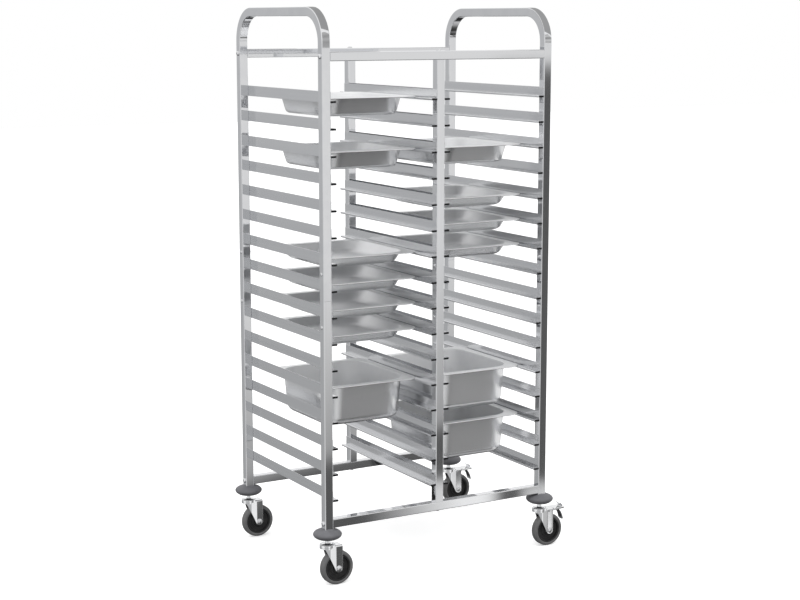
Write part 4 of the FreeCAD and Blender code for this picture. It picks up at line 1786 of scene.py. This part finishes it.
@dataclass
class Room:
    """White room with grey walls and a dark screen in front, as the polished steel mirrors it.

    Headings turn from the front towards the right, and heights go up from the horizon, both in degrees.
    """

    sheet: NodeSheet
    white: Colour = (0.955, 0.955, 0.958)
    corner: Colour = (0.52, 0.525, 0.535)
    low_corner: Colour = (0.4, 0.405, 0.41)
    flank: Colour = (0.56, 0.565, 0.57)
    low_flank: Colour = (0.5, 0.505, 0.51)
    foot: Colour = (0.28, 0.28, 0.285)
    underside: Colour = (0.03, 0.03, 0.032)
    corner_fade: Point = (0.0, -18.0)
    brink_heading: float = 31.6
    brink_slope: float = -0.28
    front_tone: Ramp = (-6.0, -15.5, 0.8, 0.34)
    screen_brink: Point = (-13.3, -14.1)
    screen_left: Ramp = (-20.0, -24.0, 12.0, -30.0)
    screen_full: float = 22.0
    screen_right: Ramp = (-20.0, -24.0, 36.0, 31.0)
    screen_flare: Ramp = (-30.0, -42.0, 0.0, 12.0)
    screen_end: Ramp = (-36.0, -50.0, 56.0, 110.0)
    screen_tone: Ramp = (-15.0, -26.0, 0.11, 0.03)
    rear: Point = (0.05, 0.35)
    gleam_start: float = 28.9
    gleam_run: float = 3.4
    gleam_end: Point = (33.7, 33.1)
    gleam_tone: Ramp = (-16.1, -17.2, 0.66, 1.0)

    def __post_init__(self) -> None:
        """Work out each direction's heading and height, and how far it lies above the slanted brink."""
        sheet = self.sheet
        split = sheet.node("ShaderNodeSeparateXYZ")
        sheet.feed(split.inputs[0], sheet.node("ShaderNodeTexCoord").outputs["Generated"])
        x, self.rearward, z = split.outputs
        ahead = sheet.product(self.rearward, -1.0)
        self.heading = sheet.product(sheet.maths("ARCTAN2", x, ahead), DEGREES)
        self.height = sheet.product(sheet.maths("ARCSINE", z), DEGREES)
        turn = sheet.maths("SUBTRACT", self.heading, self.brink_heading)
        self.brink = sheet.maths("MULTIPLY_ADD", turn, self.brink_slope, self.height)

    def share(self, zone: Zone) -> Feed:
        """Share of a zone in each direction.

        Args:
            zone: The zone.

        Returns:
            Its share, from 0 to 1.
        """
        limits = [self.sheet.smooth(self.heading, *limit) for limit in zone.headings]
        limits.extend(self.sheet.smooth(self.height, *limit) for limit in zone.heights)
        return self.sheet.product(*limits)

    def by_height(
        self, start: float, end: float, low: float = 0.0, high: float = 1.0,
    ) -> bpy.types.NodeSocket:
        """Value that goes from low to high between two heights."""
        return self.sheet.smooth(self.height, start, end, low, high)

    def walls(self) -> bpy.types.NodeSocket:
        """White walls with grey parts at the back, on the left, at the right rear and in front."""
        sheet = self.sheet
        corner = sheet.blend(self.by_height(*self.corner_fade), self.corner, self.low_corner)
        shade = sheet.blend(self.share(BACK_CORNER), self.white, corner)
        flanks = sheet.maths("MAXIMUM", self.share(LEFT_FLANK), self.share(RIGHT_REAR))
        shade = sheet.blend(flanks, shade, self.flank)
        shade = sheet.blend(self.share(LOW_FLANK), shade, self.low_flank)
        front = sheet.smooth(self.brink, *self.front_tone)
        return sheet.blend(self.share(FRONT_WALL), shade, front)

    def with_screen(self, shade: Feed) -> bpy.types.NodeSocket:
        """Add the dark screen in front and what lies below.

        Args:
            shade: Colour of the walls.

        Returns:
            The new colour.
        """
        sheet = self.sheet
        left = self.by_height(*self.screen_left)
        right = sheet.maths("ADD", self.by_height(*self.screen_right), self.by_height(*self.screen_flare))
        outer = self.by_height(*self.screen_end)
        below = sheet.smooth(self.brink, *self.screen_brink)
        low_part = sheet.product(below, sheet.smooth(self.heading, left, self.screen_full))
        screen = sheet.maths("MAXIMUM", self.share(SCREEN_POST), low_part)
        screen = sheet.product(screen, sheet.smooth(self.heading, outer, right))
        shade = sheet.blend(screen, shade, self.by_height(*self.screen_tone))
        shade = sheet.blend(self.share(FOOT), shade, self.foot)
        behind = sheet.smooth(self.rearward, *self.rear)
        return sheet.blend(sheet.product(behind, self.share(UNDERSIDE)), shade, self.underside)

    def with_gleams(self, shade: Feed) -> bpy.types.NodeSocket:
        """Add two bright gleams beside the screen's post.

        Args:
            shade: Colour of the walls and the screen.

        Returns:
            The new colour.
        """
        sheet = self.sheet
        pace = 1.0 / self.gleam_run
        ramp = sheet.maths("MULTIPLY_ADD", self.heading, pace, -self.gleam_start * pace, clamp=True)
        first = sheet.product(ramp, sheet.smooth(self.heading, *self.gleam_end))
        second = sheet.product(self.share(SECOND_GLEAM), self.by_height(*self.gleam_tone))
        gleams = sheet.product(sheet.maths("ADD", first, second), self.share(GLEAM_BAND))
        return sheet.blend(gleams, shade, WHITE)


@dataclass(frozen=True)
class Lamp:
    """Large soft lamp that mirror images don't show, in metres and watts."""

    name: str
    place: tuple[float, float, float]
    size: float
    power: float
    aim: tuple[float, float, float] = (0.0, 0.0, 0.7)

    def build(self) -> None:
        """Put the lamp into the scene."""
        light = bpy.data.lights.new(self.name, "AREA")
        light.energy = self.power
        light.size = self.size
        lamp = bpy.data.objects.new(self.name, light)
        lamp.location = self.place
        lamp.rotation_euler = (Vector(self.aim) - Vector(self.place)).to_track_quat("-Z", "Y").to_euler()
        lamp.visible_glossy = False
        bpy.context.scene.collection.objects.link(lamp)


LAMPS = (Lamp("top_lamp", (-0.6, -0.8, 3.6), 3.0, 60.0), Lamp("left_lamp", (-3.4, -1.6, 2.2), 2.2, 30.0))


@dataclass
class Studio:
    """Pale floor, soft light all round and the camera."""

    camera_place: tuple[float, float, float] = (-2.496, -4.3254, 1.5796)
    camera_turn: tuple[float, float, float] = (80.563, 0.0, -30.034)
    lens: float = 75.75
    sensor: float = 36.0
    floor_size: float = 40.0
    floor_pale: Colour = (0.94, 0.94, 0.94)
    floor_light: Colour = (0.96, 0.96, 0.96)
    floor_roughness: float = 0.9
    floor_glow: float = 0.35
    floor_clouds: float = 3.0
    soft_low: Colour = (0.2, 0.2, 0.2)
    soft_rise: Point = (-25.0, 20.0)
    mirror_bounces: int = 12

    def surroundings(self) -> None:
        """The room in mirror images, soft light from above for the rest and a white background."""
        world = bpy.data.worlds.new("white_room")
        bpy.context.scene.world = world
        world.use_nodes = True
        sheet = NodeSheet(world.node_tree)
        room = Room(sheet)
        shade = room.with_gleams(room.with_screen(room.walls()))
        soft = sheet.blend(room.by_height(*self.soft_rise), self.soft_low, WHITE)
        path = sheet.node("ShaderNodeLightPath")
        shade = sheet.blend(path.outputs["Is Diffuse Ray"], shade, soft)
        shade = sheet.blend(path.outputs["Is Camera Ray"], shade, WHITE)
        sheet.feed(world.node_tree.nodes["Background"].inputs["Color"], shade)

    def floor(self) -> None:
        """Plain pale floor, left out of the mirror images in the steel."""
        bm = bmesh.new()
        bmesh.ops.create_grid(bm, x_segments=1, y_segments=1, size=self.floor_size / 2)
        made, sheet, shader = node_material("pale_floor")
        cloud = sheet.noise(sheet.node("ShaderNodeTexCoord").outputs["Object"], self.floor_clouds)
        sheet.feed(shader.inputs["Base Color"], sheet.blend(cloud, self.floor_pale, self.floor_light))
        shader.inputs["Roughness"].default_value = self.floor_roughness
        shader.inputs["Emission Color"].default_value = (*WHITE, 1.0)
        shader.inputs["Emission Strength"].default_value = self.floor_glow
        floor = placed("floor", bm, made)
        floor.visible_glossy = False
        floor.visible_diffuse = False

    def camera(self) -> None:
        """Camera at the photograph's viewing angle."""
        data = bpy.data.cameras.new("camera")
        data.sensor_width = self.sensor
        data.lens = self.lens
        made = bpy.data.objects.new("camera", data)
        made.location = self.camera_place
        made.rotation_euler = tuple(math.radians(turn) for turn in self.camera_turn)
        bpy.context.scene.collection.objects.link(made)
        bpy.context.scene.camera = made

    def dress(self) -> None:
        """Set up the room."""
        bpy.context.scene.view_settings.view_transform = "Standard"
        bpy.context.scene.cycles.glossy_bounces = self.mirror_bounces
        self.surroundings()
        for lamp in LAMPS:
            lamp.build()
        self.floor()
        for card in SHADE_CARDS:
            card.build()
        self.camera()


def main() -> None:
    """Build the trolley's sub-assemblies in order and the room round it."""
    logging.basicConfig(level=logging.INFO, format="%(name)s: %(message)s")
    shop = Workshop()
    for assembly in (EndFrames(), FrameBars(), HemShadePlugs(), Fasteners(), Pans(), Bumpers(), Castors()):
        assembly.dress(shop)
    Studio().dress()


if __name__ == "__main__":
    main()
